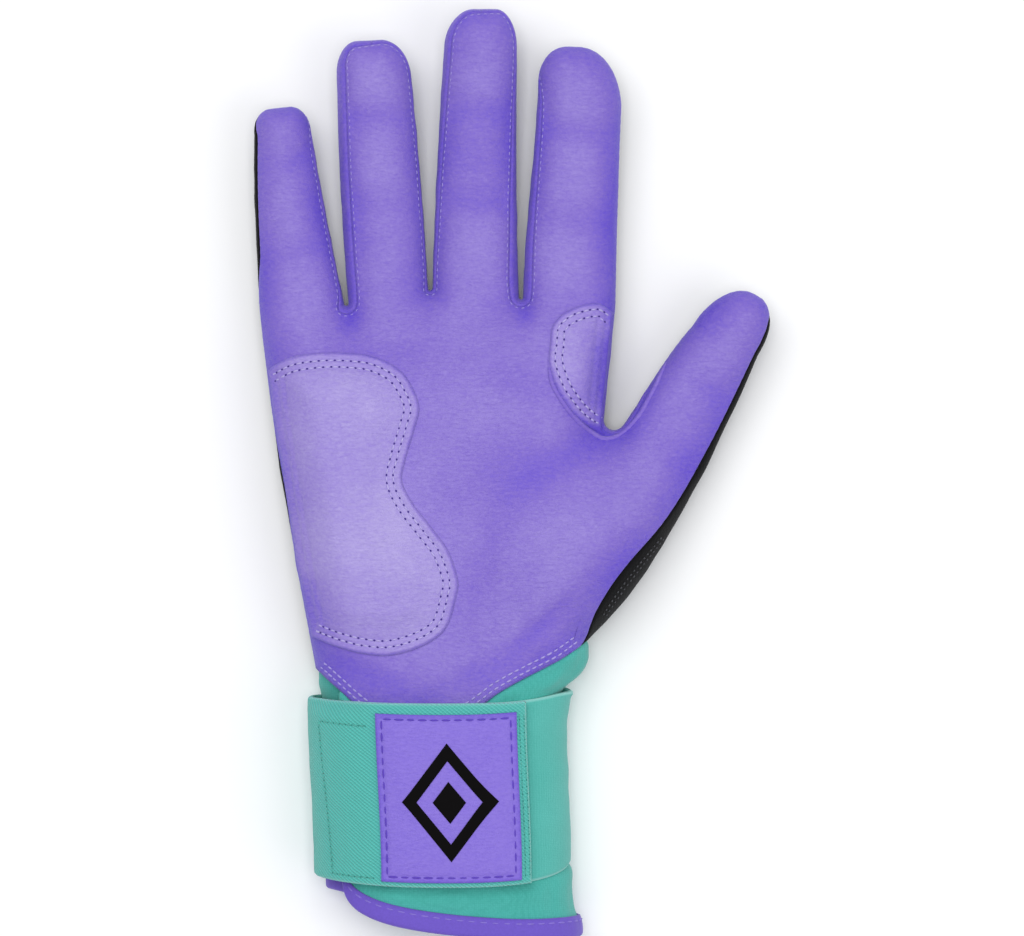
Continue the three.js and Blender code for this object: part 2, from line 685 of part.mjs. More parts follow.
// Outline of the heel patch: a bean along the little-finger side of the palm, drawn in by a margin.
// Each width is a share of the patch's own width, from its foot to its head.
const heelWidthShares = [0.74, 0.86, 0.93, 0.95, 0.93, 0.86, 0.77, 0.72, 0.74, 0.79, 0.83, 0.83, 0.78];
function heelSides(margin) {
  const { top, bottom, crown, width, inset } = heelPatch;
  const rows = heelWidthShares.length - 1;
  const left = steps(rows).map((share) => (
    sideAt(mix(bottom + margin, top - margin, share), -1, inset + margin)));
  const right = left.map((p, i) => point(p.x + heelWidthShares[i] * width - 2 * margin, p.y));
  const across = (from, to, rise) => steps(heelColumns).map((share) => {
    const p = from.clone().lerp(to, crowded(share));
    return point(p.x, p.y + rise * Math.sin(Math.PI * crowded(share)));
  });
  return [across(left[0], right[0], -crown), across(left[rows], right[rows], crown), left, right];
}

// Outline of the index patch: a half moon at the base of the index finger.
const indexWidthShares = [0.1, 0.42, 0.7, 0.88, 0.97, 1.0, 0.98, 0.92, 0.8, 0.62, 0.34];
function indexSides() {
  const { top, bottom, width, inset } = indexPatch;
  const rows = indexWidthShares.length - 1;
  const right = steps(rows).map((share) => sideAt(mix(bottom, top, share), 1, inset));
  const left = right.map((p, i) => point(p.x - indexWidthShares[i] * width, p.y));
  const across = (from, to) => steps(indexColumns).map((share) => (
    to.clone().lerp(from, crowded(1 - share))));
  return [across(left[0], right[0]), across(left[rows], right[rows]), left, right];
}

function heelPatchGeometry() {
  const raised = patchGap * 2 + padThickness;
  return overlay(heelSides(0), (edge) => mix(patchGap, raised, Math.min(1, edge / padRampRows)), patchThickness);
}
function heelPadGeometry() {
  return overlay(heelSides(padMargin), () => patchGap, padThickness * padEdge);
}
const indexPatchGeometry = () => overlay(indexSides(), () => patchGap, patchThickness);

// Cuff: angle 0 is the little-finger side, 90 the palm side, 180 the thumb side and 270 the back.
function cuffSurface(degrees, y) {
  const section = cuffSection(y);
  const x = mix(section.left, section.right, (1 - Math.cos(radians(degrees))) / 2);
  return formPoint(x, y, Math.sin(radians(degrees)) < 0 ? -1 : 1);
}
function overCuff(degrees, y, offset) {
  const round = cuffSurface(degrees + probeAngle, y).sub(cuffSurface(degrees - probeAngle, y));
  const up = cuffSurface(degrees, y + seamGap).sub(cuffSurface(degrees, y - seamGap));
  const normal = round.cross(up).normalize();
  return { position: cuffSurface(degrees, y).addScaledVector(normal, offset), normal };
}
const cuffShare = (degrees) => (1 - Math.cos(radians(degrees))) / 2;
const isFront = (degrees) => ((degrees % 360) + 360) % 360 <= 180;
function cuffTop(degrees) {
  const hem = isFront(degrees) ? frontHem : backHem;
  return hem(cuffShare(degrees)) - hemGap;
}
function cuffBottom(degrees) {
  const share = cuffShare(degrees);
  if (degrees > 180) return mouth.y + ulnarMouthRise * (1 - share);
  const run = Math.min(1, radians(degrees - flapAngle) * strapTop.half / flapCorner.across);
  return mouth.y + flapCorner.along * (1 - Math.sqrt(1 - (1 - run) ** 2));
}
// The end under the flap lies deeper by the underlap's depth.
function cuffDepth(degrees) {
  return -underlapDepth * smooth(degrees, underlapBlend.from, underlapBlend.to);
}
// All layers of the wrist share one set of angles, so that their facets lie parallel.
function anglesBetween(from, to) {
  const step = 360 / girthSteps;
  const shared = [];
  for (let i = Math.floor(from / step) + 1; i * step < to; i += 1) shared.push(i * step);
  const clear = shared.filter((degrees) => degrees - from > step / 4 && to - degrees > step / 4);
  return [from, ...clear, to];
}
const cuffAngles = anglesBetween(flapAngle, 360 + underlapAngle);
const strapCentre = (degrees) => (
  strap.y + strap.rise * (isFront(degrees) ? 1 - Math.sin(radians(degrees)) : 1));

function cuffGeometry() {
  const rows = cuffAngles.map((degrees) => {
    const bottom = cuffBottom(degrees);
    const strapFoot = strapCentre(degrees) - strap.width / 2;
    const top = cuffTop(degrees);
    const bound = bottom + binding.height;
    const low = Math.max(bound + hemGap, strapFoot);
    const high = Math.min(strapFoot + strap.width, top - hemGap);
    const stations = [bottom, bound, low, mix(low, high, 1 / 3), mix(low, high, 2 / 3), high, top];
    return stations.map((y) => overCuff(degrees, y, cuffDepth(degrees)));
  });
  return thicken(new Sheet().grid(rows, true), neoprene);
}

// The binding is a channel folded round the cuff's lower edge, swept along it as one closed body.
function bindingGeometry() {
  const { height, thickness } = binding;
  const profile = (degrees) => {
    const edge = cuffBottom(degrees);
    const outside = cuffDepth(degrees) + seamGap;
    const inside = cuffDepth(degrees) - neoprene - seamGap;
    const corner = (offset, rise) => overCuff(degrees, edge + rise, offset).position;
    return [
      corner(outside + thickness, height), corner(outside, height),
      corner(outside, -seamGap), corner(inside, -seamGap),
      corner(inside, height), corner(inside - thickness, height),
      corner(inside - thickness, -seamGap - thickness), corner(outside + thickness, -seamGap - thickness),
    ];
  };
  const loops = cuffAngles.map(profile);
  const body = new Sheet().grid(loops.map((loop) => [...loop, loop[0]]), true);
  const [first, last] = [loops[0], loops.at(-1)].map((loop) => loop.map((p) => body.add({ position: p })));
  for (const [a, b, c, d] of [[0, 1, 2, 7], [2, 3, 6, 7], [3, 4, 5, 6]]) {
    body.face(first[a], first[b], first[c]);
    body.face(first[a], first[c], first[d]);
    body.face(last[a], last[c], last[b]);
    body.face(last[a], last[d], last[c]);
  }
  return body.geometry();
}

// Strap layers, each a sheet between two angles whose outer face is at an offset over the cuff.
const bandOffset = seamGap + bandThickness;
const loopOffset = bandOffset + seamGap + loopThickness;
const hookOffset = loopOffset + seamGap + hookThickness;
const tabOffset = hookOffset + seamGap + tabThickness;
const patchOffset = tabOffset + seamGap + patch.thickness;
const angleAtX = (x) => {
  const section = cuffSection(strap.y);
  const share = (x - section.left) / (section.right - section.left);
  return THREE.MathUtils.radToDeg(Math.acos(1 - 2 * share));
};
function strapLayer(from, to, width, offsetAt, thickness) {
  const inset = (strap.width - width) / 2;
  const rows = anglesBetween(from, to).map((degrees) => {
    const foot = strapCentre(degrees) - strap.width / 2;
    const stations = [inset, strap.width / 3, 2 * strap.width / 3, strap.width - inset];
    return stations.map((rise) => overCuff(degrees, foot + rise, offsetAt(degrees)));
  });
  return thicken(new Sheet().grid(rows, true), thickness);
}
const tabEnd = angleAtX(strap.endX);
const tabLift = (degrees) => (
  mix(bandOffset, tabOffset, smooth(degrees, strap.rootAngle, strap.rampAngle)));
const rootGap = THREE.MathUtils.radToDeg(seamGap / cuffForm.back);

const fastenerWidth = strap.width - 2 * hookInset;
const wristBand = () => strapLayer(
  bandStartAngle, 360 + strap.rootAngle - rootGap, strap.width, () => bandOffset, bandThickness);
const loopPanel = () => strapLayer(
  hookStartAngle, tabEnd - rootGap, fastenerWidth, () => loopOffset, loopThickness);
const hookPanel = () => strapLayer(
  hookStartAngle, tabEnd - rootGap, fastenerWidth, () => hookOffset, hookThickness);
const strapTab = () => strapLayer(strap.rootAngle, tabEnd, strap.width, tabLift, tabThickness);
const strapPatch = () => strapLayer(
  angleAtX(patch.left), angleAtX(patch.right), patch.height, () => patchOffset, patch.thickness);

// Colours of the materials
const finishes = {
  leather: { color: 0x8b75d6, roughness: 0.55, metalness: 0 },
  patchLeather: { color: 0x9580de, roughness: 0.6, metalness: 0 },
  foam: { color: 0x3a3a3c, roughness: 0.95, metalness: 0 },
  blackFabric: { color: 0x151310, roughness: 0.85, metalness: 0 },
  neoprene: { color: 0x5db5ab, roughness: 0.8, metalness: 0 },
  webbing: { color: 0x57b0a5, roughness: 0.9, metalness: 0 },
  bindingTape: { color: 0x7356d0, roughness: 0.7, metalness: 0 },
  fastener: { color: 0x1d1d1f, roughness: 0.95, metalness: 0 },
};

const glove = new THREE.Group();
function addPiece(name, geometry, finish) {
  const mesh = new THREE.Mesh(geometry, new THREE.MeshStandardMaterial(finishes[finish]));
  mesh.name = name;
  glove.add(mesh);
}

const backs = backPanels();
addPiece('palm_panel', palmPanel(), 'leather');
addPiece('heel_pad', heelPadGeometry(), 'foam');
addPiece('heel_patch', heelPatchGeometry(), 'patchLeather');
addPiece('index_patch', indexPatchGeometry(), 'patchLeather');
addPiece('fourchette_little_ring', fourchette('little', 'ring'), 'leather');
addPiece('fourchette_ring_middle', fourchette('ring', 'middle'), 'leather');
addPiece('fourchette_middle_index', fourchette('middle', 'index'), 'leather');
addPiece('web_gusset', sideStrip(webStart, webEnd - 1), 'leather');
addPiece('back_panel', backs.hand, 'blackFabric');
addPiece('thumb_back_panel', backs.thumb, 'blackFabric');
addPiece('cuff', cuffGeometry(), 'neoprene');
addPiece('cuff_binding', bindingGeometry(), 'bindingTape');
addPiece('wrist_band', wristBand(), 'webbing');
addPiece('loop_panel', loopPanel(), 'fastener');
addPiece('strap_tab', strapTab(), 'webbing');
addPiece('hook_panel', hookPanel(), 'fastener');
addPiece('strap_patch', strapPatch(), 'patchLeather');

export default glove;
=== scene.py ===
# Batting glove for the right hand, palm up; lengths are millimetres until a mesh is made in metres.

import math

import bpy
import numpy as np
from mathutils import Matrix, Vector, noise
from mathutils.kdtree import KDTree


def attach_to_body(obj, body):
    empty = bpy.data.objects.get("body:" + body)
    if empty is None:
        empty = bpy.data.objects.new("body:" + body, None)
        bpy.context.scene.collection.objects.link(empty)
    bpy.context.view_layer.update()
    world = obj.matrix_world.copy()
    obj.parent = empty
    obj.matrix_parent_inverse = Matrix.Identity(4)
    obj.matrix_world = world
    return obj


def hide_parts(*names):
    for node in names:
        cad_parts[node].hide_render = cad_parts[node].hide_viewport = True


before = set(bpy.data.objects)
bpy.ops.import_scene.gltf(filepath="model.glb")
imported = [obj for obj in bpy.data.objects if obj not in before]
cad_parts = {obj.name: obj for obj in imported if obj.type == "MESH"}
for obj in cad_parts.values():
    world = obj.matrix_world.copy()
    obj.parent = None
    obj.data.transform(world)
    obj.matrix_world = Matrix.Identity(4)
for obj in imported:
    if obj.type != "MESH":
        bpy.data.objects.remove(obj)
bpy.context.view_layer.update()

MM = 0.001

# Thickness of the materials
LEATHER = 1.0
FABRIC = 1.0
NEOPRENE = 1.4
WEBBING = 1.1
PILE = 0.6
PATCH = 0.8
TAPE = 0.45
INK = 0.3

# Panels: gap at a seam, rolled edge, least run from a seam to the inner blocks, how near points are joined
SEAM_GAP = 0.06
ROLL_WIDTH, ROLL_DEPTH = 0.9, 0.5
LEAST_RING = 2.2
WELD = 0.004

# Puckers along the seams: height, pitch, and how far they reach in
PUCKER_HEIGHT, PUCKER_PITCH, PUCKER_REACH = 0.04, 2.6, 2.2

# Hand outline, seen on the palm
PALM_LEFT = -52.4
KNUCKLE_Y = 57.0
CROTCH_RADIUS = 0.6
LITTLE_DROP = 1.3
INDEX_DROP = 0.7
ULNAR_BOWS = (1.0, 2.3)
FINGERS = [
    dict(name="little", base=25.1, length=57.8, lean=-6.3, tip=16.6, rise=0.1, shift=-0.4,
         left_round=(5.6, 7.0), right_round=(5.4, 7.2), left_bow=(0.9, 1.1), right_bow=(-0.4, -0.4)),
    dict(name="ring", base=24.4, length=74.0, lean=-3.6, tip=21.5, rise=4.5, shift=0.0,
         left_round=(6.2, 9.0), right_round=(8.4, 11.0), left_bow=(0.9, 0.9), right_bow=(0.4, 0.4)),
    dict(name="middle", base=26.4, length=81.9, lean=1.2, tip=21.2, rise=1.9, shift=0.0,
         left_round=(8.7, 11.6), right_round=(6.2, 11.6), left_bow=(0.5, 0.5), right_bow=(-0.6, -0.6)),
    dict(name="index", base=27.5, length=73.7, lean=2.6, tip=24.5, rise=0.0, shift=0.6,
         left_round=(8.4, 9.6), right_round=(13.0, 18.0), left_bow=(1.2, -0.9), right_bow=(-0.2, -0.3)),
]
THUMB = dict(name="thumb", lean=31.0, length=52.2, shift=15.9, tip=20.9, crotch=3.0,
             left_round=(10.6, 17.0), right_round=(8.6, 14.8), left_bow=(-0.2, 1.6), right_bow=(8.2, 3.2))
THUMB_INSET = 0.4
THUMB_DROP = 33.0

# Wrist, strap zone and cuff mouth: place along the glove, centre and half width
STATIONS = [(-45.0, 3.3, 40.0), (-57.0, 0.1, 35.1), (-108.0, 1.8, 34.8), (-126.0, 3.3, 37.4)]
WRIST_Y, MOUTH_Y = STATIONS[0][0], STATIONS[-1][0]

# Hems of the palm and the back: their ends, how far they hang, the palm's shape, and the rays beside them
HEM_LEFT, HEM_RIGHT = -49.0, -40.6
HEM_DROP, BACK_HEM_DROP = 21.0, 3.0
HEM_POWER, HEM_SKEW = 1.2, 0.85
HEM_AIM, HEM_TURN = 0.1, 14.0
BASE_SAG = 4.0

# Form of the hand inside: height over and under the seam, and how wide the rounding at the sides is
SEAM_HEIGHT = 13.0
PALM = dict(front=15.5, back=13.0, round=18.0)
DIGIT = dict(front=8.5, back=8.5, round=11.0)
CUFF = dict(front=17.5, back=10.6, round=24.0)
CURL, CURL_LENGTH, THUMB_LIFT = 8.0, 85.0, 4.0
MOUNDS = [(33.0, -14.0, 24.0, 3.5), (-26.0, -10.0, 30.0, 2.5)]
CORE_ANGLE = math.radians(55.0)

# Where one form runs into the next: at the knuckles, along and across the thumb, down the wrist
FINGER_START = (KNUCKLE_Y - 26.0, KNUCKLE_Y + 4.0)
THUMB_START, THUMB_SIDE = (-30.0, 6.0), (-16.0, 2.0)
CUFF_START = (36.0, 56.0)

# Seams, as lengths over the side from the mid-line at the base and at the tip of each side
SIDE_SEAM = -0.5
ULNAR_SLIVER = dict(y=2.6, reach=14.0, depth=4.2)
LITTLE_SEAM = (4.6, 4.4)
FRONT_SEAMS = {
    "little.right": (3.4, 2.8), "ring.left": (7.0, 6.8), "ring.right": (3.0, 2.8),
    "middle.left": (3.6, 6.0), "middle.right": (7.0, 3.2), "index.left": (6.6, 4.4),
}
CROTCH_SEAMS = (6.6, 4.2, 6.0)
BACK_SEAM = 6.2
WEB_SEAM = 4.0
THUMB_SEAM = (9.0, 14.5, 14.0, 9.5, 6.6, 5.4, 4.8, 4.6)

# Numbers of facets, and the longest step along the border
FINGER_COLUMNS = 26
THUMB_COLUMNS = 48
CROTCH_STEPS = 8
SIDE_STEPS = 80
THUMB_STEPS = 60
RADIAL_STEPS = 34
ARC_STEPS = 7
RING_ROWS = 13
TIP_RUN = 9
THUMB_RUN = 7
LITTLE_RISE, LITTLE_TURN = 14, 5
SEAM_EASE = 17
BORDER_STEP = 0.5

rng = np.random.default_rng(7)


def smooth(value, low, high):
    share = np.clip((value - low) / (high - low), 0.0, 1.0)
    return share * share * (3.0 - 2.0 * share)


def mix(a, b, share):
    return a + (b - a) * share


def unit(v):
    return v / np.maximum(np.linalg.norm(v, axis=-1, keepdims=True), 1e-9)


def bell(value, centre, width):
    return np.exp(-((value - centre) / width) ** 2)


def hill(value, height, centre, width):
    return height * bell(value, centre, width)


def quarter_round(share):
    """Height of a rounded edge, 0 to 1, at a share of its width."""
    return np.sqrt(np.maximum(0, 1 - (1 - np.minimum(1, share)) ** 2))


def walk_along(line):
    """Length along a line at each of its points."""
    return np.concatenate([[0], np.cumsum(np.linalg.norm(np.diff(line, axis=0), axis=1))])


def places_at(marks, walk, line):
    """Places on a line at marks, where walk gives the mark of each of its points."""
    return np.column_stack([np.interp(marks, walk, column) for column in line.T])


# Silhouette: rays that start on the outline and point into the hand
def side_rays(base, shoulder, bow, hand, count):
    """Rays along a bowed side: their starts, directions and longest reach."""
    chord = shoulder - base
    outward = unit(np.array([-chord[1], chord[0]])) * hand
    a = base + chord / 3 + outward * bow[0]
    b = base + chord * 2 / 3 + outward * bow[1]
    t = np.linspace(0, 1, count + 1)[:, None]
    edge = (1 - t) ** 3 * base + 3 * (1 - t) ** 2 * t * a + 3 * (1 - t) * t * t * b + t ** 3 * shoulder
    slope = (1 - t) ** 2 * (a - base) + 2 * (1 - t) * t * (b - a) + t * t * (shoulder - b)
    tangent = unit(slope)
    inward = np.stack([tangent[:, 1], -tangent[:, 0]], 1) * hand
    return edge, inward, np.full(count + 1, np.inf)


def digit_frame(origin, lean):
    angle = math.radians(lean)
    across = np.array([math.cos(angle), -math.sin(angle)])
    along = np.array([math.sin(angle), math.cos(angle)])
    return origin, across, along


def place(frame_of, x, y):
    origin, across, along = frame_of
    x, y = np.asarray(x, float), np.asarray(y, float)
    return origin + np.multiply.outer(x, across) + np.multiply.outer(y, along)


def round_size(digit, side):
    return digit["left_round"] if side < 0 else digit["right_round"]


def arc_rays(frame_of, digit, side, degrees):
    size = round_size(digit, side)
    angle = np.radians(degrees)
    dx, dy = side * np.cos(angle), np.sin(angle)
    x = digit["shift"] + side * (digit["tip"] / 2 - size[0]) + dx * size[0]
    y = digit["length"] - size[1] + dy * size[1]
    direction = place((np.zeros(2), frame_of[1], frame_of[2]), -dx, -dy)
    return place(frame_of, x, y), direction, np.full(len(degrees), min(size) - 0.3)


def tip_rays(frame_of, digit, columns):
    """Rays round a digit's end, from the middle of one corner to the middle of the other."""
    half = columns // 2
    parts = []
    for side in (-1, 1):
        size = round_size(digit, side)
        spare = digit["tip"] / 2 - size[0]
        flat = max(0.0, spare)
        bend = math.pi / 4 * (size[0] + size[1]) / 2
        bends = min(half, max(2, round(half * bend / (bend + flat))))
        flats = half - bends
        last = 90.0 if spare >= 0 else math.degrees(math.acos(-spare / size[0]))
        edge, inward, reach = arc_rays(frame_of, digit, side, np.linspace(45, last, bends + 1))
        x = digit["shift"] + side * flat * (1 - np.arange(1, flats + 1) / max(flats, 1))
        top = place(frame_of, x, np.full(flats, digit["length"]))
        edge = np.concatenate([edge, top])
        inward = np.concatenate([inward, np.tile(-frame_of[2], (flats, 1))])
        reach = np.concatenate([reach, np.full(flats, min(size) - 0.3)])
        parts.append((edge, inward, reach))
    left, right = parts
    return tuple(np.concatenate([a, b[::-1][1:]]) for a, b in zip(left, right))


def crotch_rays(centre, radius, start, end, count):
    a, b = math.atan2(start[1], start[0]), math.atan2(end[1], end[0])
    if b < a:
        b += 2 * math.pi
    angle = np.linspace(a, b, count + 1)
    direction = np.stack([np.cos(angle), np.sin(angle)], 1)
    return centre + direction * radius, direction, np.full(count + 1, np.inf)


def cuff_section(y):
    """Left and right side of the wrist and cuff at a height."""
    y = np.asarray(y, float)
    centre = np.full(y.shape, STATIONS[0][1])
    half = np.full(y.shape, STATIONS[0][2])
    for (y0, c0, h0), (y1, c1, h1) in zip(STATIONS, STATIONS[1:]):
        share = smooth(-y, -y0, -y1)
        centre = centre + (c1 - c0) * share
        half = half + (h1 - h0) * share
    return centre - half, centre + half


def front_hem(share):
    swing = np.sin(np.pi * np.clip(share, 0, 1) ** HEM_SKEW)
    return mix(HEM_LEFT, HEM_RIGHT, share) - HEM_DROP * np.maximum(swing, 0) ** HEM_POWER


def back_hem(share):
    return mix(HEM_LEFT, HEM_RIGHT, share) - BACK_HEM_DROP * np.sin(np.pi * np.asarray(share))


def hem_point(hem, share):
    y = hem(share)
    left, right = cuff_section(y)
    return np.stack([mix(left, right, share), y], -1)


def build_silhouette():
    x = PALM_LEFT
    crotches = []
    for finger in FINGERS[:-1]:
        x += finger["base"]
        crotches.append(np.array([x, KNUCKLE_Y + finger["rise"]]))
    little_base = np.array([PALM_LEFT, KNUCKLE_Y - LITTLE_DROP])
    index_base = np.array([x + FINGERS[-1]["base"], KNUCKLE_Y - INDEX_DROP])
    anchors = [little_base, *crotches, index_base]
    frames = [digit_frame((anchors[i] + anchors[i + 1]) / 2, f["lean"]) for i, f in enumerate(FINGERS)]
    web = index_base - np.array([THUMB_INSET, THUMB_DROP])
    frames.append(digit_frame(web, THUMB["lean"]))

    def shoulder(digit, i, side):
        x = digit["shift"] + side * digit["tip"] / 2
        return place(frames[i], x, digit["length"] - round_size(digit, side)[1])

    def inward(start, end, hand):
        d = unit(end - start)
        return np.array([d[1], -d[0]]) * hand

    parts = []

    def add(name, rays, low=0, high=None):
        parts.append((name, tuple(a[low:high] for a in rays)))

    def flipped(rays):
        return tuple(a[::-1] for a in rays)

    def add_tip(digit, i, columns):
        arc = np.linspace(0, 45, ARC_STEPS + 1)[1:-1]
        add(digit["name"] + ".left_arc", arc_rays(frames[i], digit, -1, arc))
        add(digit["name"] + ".top", tip_rays(frames[i], digit, columns))
        add(digit["name"] + ".right_arc", flipped(arc_rays(frames[i], digit, 1, arc)))

    hem_corners = [np.array([cuff_section(y)[k], y]) for k, y in ((0, HEM_LEFT), (1, HEM_RIGHT))]
    outer = CROTCH_STEPS + SIDE_STEPS
    add("ulnar", side_rays(hem_corners[0], little_base, ULNAR_BOWS, 1,
                           THUMB_COLUMNS + CROTCH_STEPS + RADIAL_STEPS))
    for i, finger in enumerate(FINGERS):
        name, left, right = finger["name"], shoulder(finger, i, -1), shoulder(finger, i, 1)
        if i == 0:
            add("little.left", side_rays(little_base, left, finger["left_bow"], 1, outer), 1)
        else:
            base = crotches[i - 1] + following * CROTCH_RADIUS
            add(name + ".left", side_rays(base, left, finger["left_bow"], 1, SIDE_STEPS), 1)
        add_tip(finger, i, FINGER_COLUMNS)
        if i == len(FINGERS) - 1:
            add("index.right", flipped(side_rays(index_base, right, finger["right_bow"], -1, outer)))
            break
        normal = inward(crotches[i], right, -1)
        following = inward(crotches[i], shoulder(FINGERS[i + 1], i + 1, -1), 1)
        base = crotches[i] + normal * CROTCH_RADIUS
        add(name + ".right", flipped(side_rays(base, right, finger["right_bow"], -1, SIDE_STEPS)), 0, -1)
        add(f"crotch.{i}", crotch_rays(crotches[i], CROTCH_RADIUS, normal, following, 2 * CROTCH_STEPS))
    left, right = shoulder(THUMB, 4, -1), shoulder(THUMB, 4, 1)
    radial, inner = inward(web, index_base, -1), inward(web, left, 1)
    crotch = THUMB["crotch"]
    add("radial", flipped(side_rays(web + radial * crotch, index_base, (0, 0), -1, RADIAL_STEPS)), 1, -1)
    add("web", crotch_rays(web, crotch, radial, inner, 2 * CROTCH_STEPS))
    add("thumb.left", side_rays(web + inner * crotch, left, THUMB["left_bow"], 1, THUMB_STEPS), 1)
    add_tip(THUMB, 4, THUMB_COLUMNS)
    add("thumb.right", flipped(side_rays(hem_corners[1], right, THUMB["right_bow"], -1,
                                         CROTCH_STEPS + THUMB_STEPS)))
    start, count = {}, 0
    for name, rays in parts:
        start[name] = count
        count += len(rays[0])
    edge, inwards, reach = (np.concatenate([rays[k] for _, rays in parts]) for k in range(3))
    return dict(edge=edge, inward=inwards, reach=reach, start=start, count=count, frames=frames)


shape = build_silhouette()
start_of = shape["start"]
web_ray = start_of["web"] + CROTCH_STEPS
end_ray = shape["count"] - 1


def turn_along_hems():
    """Near the hems the rays swing round, until the last ones run along them."""
    edge, straight = shape["edge"], shape["inward"]
    walk = walk_along(edge)
    shape["facing"] = -straight
    for key, hem in (("inward", front_hem), ("inward_back", back_hem)):
        turned = straight.copy()
        for end, share in ((0, HEM_AIM), (-1, 1 - HEM_AIM)):
            along = unit(hem_point(hem, share) - edge[end])
            weight = 1 - smooth(np.abs(walk - walk[end]), 0.0, HEM_TURN)
            turned = mix(turned, along, weight[:, None])
        shape[key] = unit(turned)


turn_along_hems()


def line_tree(line):
    tree = KDTree(len(line))
    for i, p in enumerate(line):
        tree.insert((p[0], p[1], 0.0), i)
    tree.balance()
    return tree


def build_border():
    """The outline with the cuff's sides as a line of close points; it runs on past the mouth."""
    y = np.linspace(WRIST_Y, MOUTH_Y - (WRIST_Y - MOUTH_Y), 160)
    left, right = (np.stack([cuff_section(y[y < hem - 0.3])[k], y[y < hem - 0.3]], 1)
                   for k, hem in enumerate((HEM_LEFT, HEM_RIGHT)))
    line = np.concatenate([left[::-1], shape["edge"], right])
    points = [line[0]]
    for a, b in zip(line, line[1:]):
        pieces = max(1, int(np.ceil(np.linalg.norm(b - a) / BORDER_STEP)))
        points.extend(a + (b - a) * k / pieces for k in range(1, pieces + 1))
    return np.array(points)


border = build_border()
border_tree = line_tree(border)


def distance_to_line(xy, points, tree):
    """Distance of plan places to a polyline."""
    nearest = np.array([tree.find((x, y, 0.0))[1] for x, y in xy])
    least = np.full(len(xy), np.inf)
    for offset in (-1, 0):
        first = np.clip(nearest + offset, 0, len(points) - 2)
        a, b = points[first], points[first + 1]
        d = b - a
        share = np.clip(((xy - a) * d).sum(1) / np.maximum((d * d).sum(1), 1e-12), 0, 1)
        least = np.minimum(least, np.linalg.norm(xy - a - d * share[:, None], axis=1))
    return least


def distance_to_border(xy):
    return distance_to_line(xy, border, border_tree)


def form_sizes(xy, side):
    """The form's crown over the seam, its rounding's width, and the seam's height at plan places."""
    x, y = xy[:, 0], xy[:, 1]
    origin, across, along = shape["frames"][4]
    local = xy - origin
    local_x, local_y = local @ across, local @ along
    in_thumb = smooth(local_x, *THUMB_SIDE)
    finger = smooth(y, *FINGER_START)
    thumb = smooth(local_y, *THUMB_START) * in_thumb
    cuff = smooth(-y, *CUFF_START)
    digit = 1 - (1 - finger) * (1 - thumb)
    key = "front" if side > 0 else "back"
    crown = mix(mix(PALM[key], DIGIT[key], digit), CUFF[key], cuff)
    if side > 0:
        for mx, my, reach, height in MOUNDS:
            crown = crown + height * np.exp(-((x - mx) ** 2 + (y - my) ** 2) / reach ** 2) * (1 - cuff)
    rounding = mix(mix(PALM["round"], DIGIT["round"], digit), CUFF["round"], cuff)
    curl = np.maximum(0, (y - KNUCKLE_Y) / CURL_LENGTH)
    lift = np.maximum(0, local_y / THUMB["length"]) * in_thumb
    return crown, rounding, SEAM_HEIGHT + CURL * curl ** 2 + THUMB_LIFT * lift ** 2


def form_points(xy, side):
    """Places on the palm side (1) or the back (-1) of the form."""
    crown, rounding, middle = form_sizes(xy, side)
    return np.column_stack([xy, middle + side * crown * quarter_round(distance_to_border(xy) / rounding)])


def form_normals(xy, side=1):
    reach = 0.4
    right = form_points(xy + [reach, 0], side) - form_points(xy - [reach, 0], side)
    up = form_points(xy + [0, reach], side) - form_points(xy - [0, reach], side)
    return unit(np.cross(right, up)) * side


# Creases of the palm side, where the hand bends: from, to, depth and half width; they also darken the
# leather's tone as painted shade
CREASES = [
    ((-48, 96), (-35, 100), 0.35, 3.6), ((-50, 70), (-34, 74), 0.3, 4.0),
    ((-29, 110), (-9, 111), 0.5, 4.2), ((-28, 86), (-7, 86), 0.35, 4.4),
    ((1, 113), (22, 112), 0.5, 4.2), ((0, 87), (22, 86), 0.4, 4.4),
    ((28, 108), (52, 104), 0.45, 4.4), ((26, 82), (50, 80), 0.3, 4.8),
    ((72, 36), (84, 28), 0.35, 3.6), ((58, 22), (76, 6), 0.3, 4.6),
    ((52, 22), (20, 2), 0.5, 5.0), ((20, 2), (6, -38), 0.45, 6.0),
    ((-40, 44), (10, 40), 0.35, 6.5), ((10, 40), (46, 26), 0.35, 6.0),
    ((36, -30), (10, -52), 0.4, 3.2), ((42, -22), (22, -44), 0.3, 2.6),
    ((-34, -44), (-6, -56), 0.35, 3.2), ((14, -46), (-8, -60), 0.3, 3.0),
]
FINE_CREASES = [
    ((-30, 106.6), (-10, 107.4), 0.14, 0.7), ((-29, 89.5), (-8, 89.8), 0.13, 0.7),
    ((-29, 82.6), (-8, 83.0), 0.12, 0.7), ((-30, 113.8), (-12, 114.4), 0.12, 0.6),
    ((2, 116.2), (21, 115.6), 0.14, 0.7), ((1, 109.4), (21, 108.6), 0.15, 0.7),
    ((1, 90.2), (21, 89.6), 0.13, 0.7), ((2, 83.4), (21, 83.0), 0.12, 0.7),
    ((29, 104.4), (51, 100.8), 0.13, 0.7), ((28, 111.4), (50, 108.0), 0.12, 0.7),
    ((27, 85.0), (49, 83.0), 0.12, 0.7), ((-47, 99.6), (-36, 102.8), 0.12, 0.6),
    ((-49, 73.8), (-35, 77.6), 0.12, 0.6), ((40, -6), (56, 8), 0.18, 1.0),
    ((34, -12), (52, 0), 0.16, 0.9), ((24, -18), (40, -4), 0.14, 0.9),
]
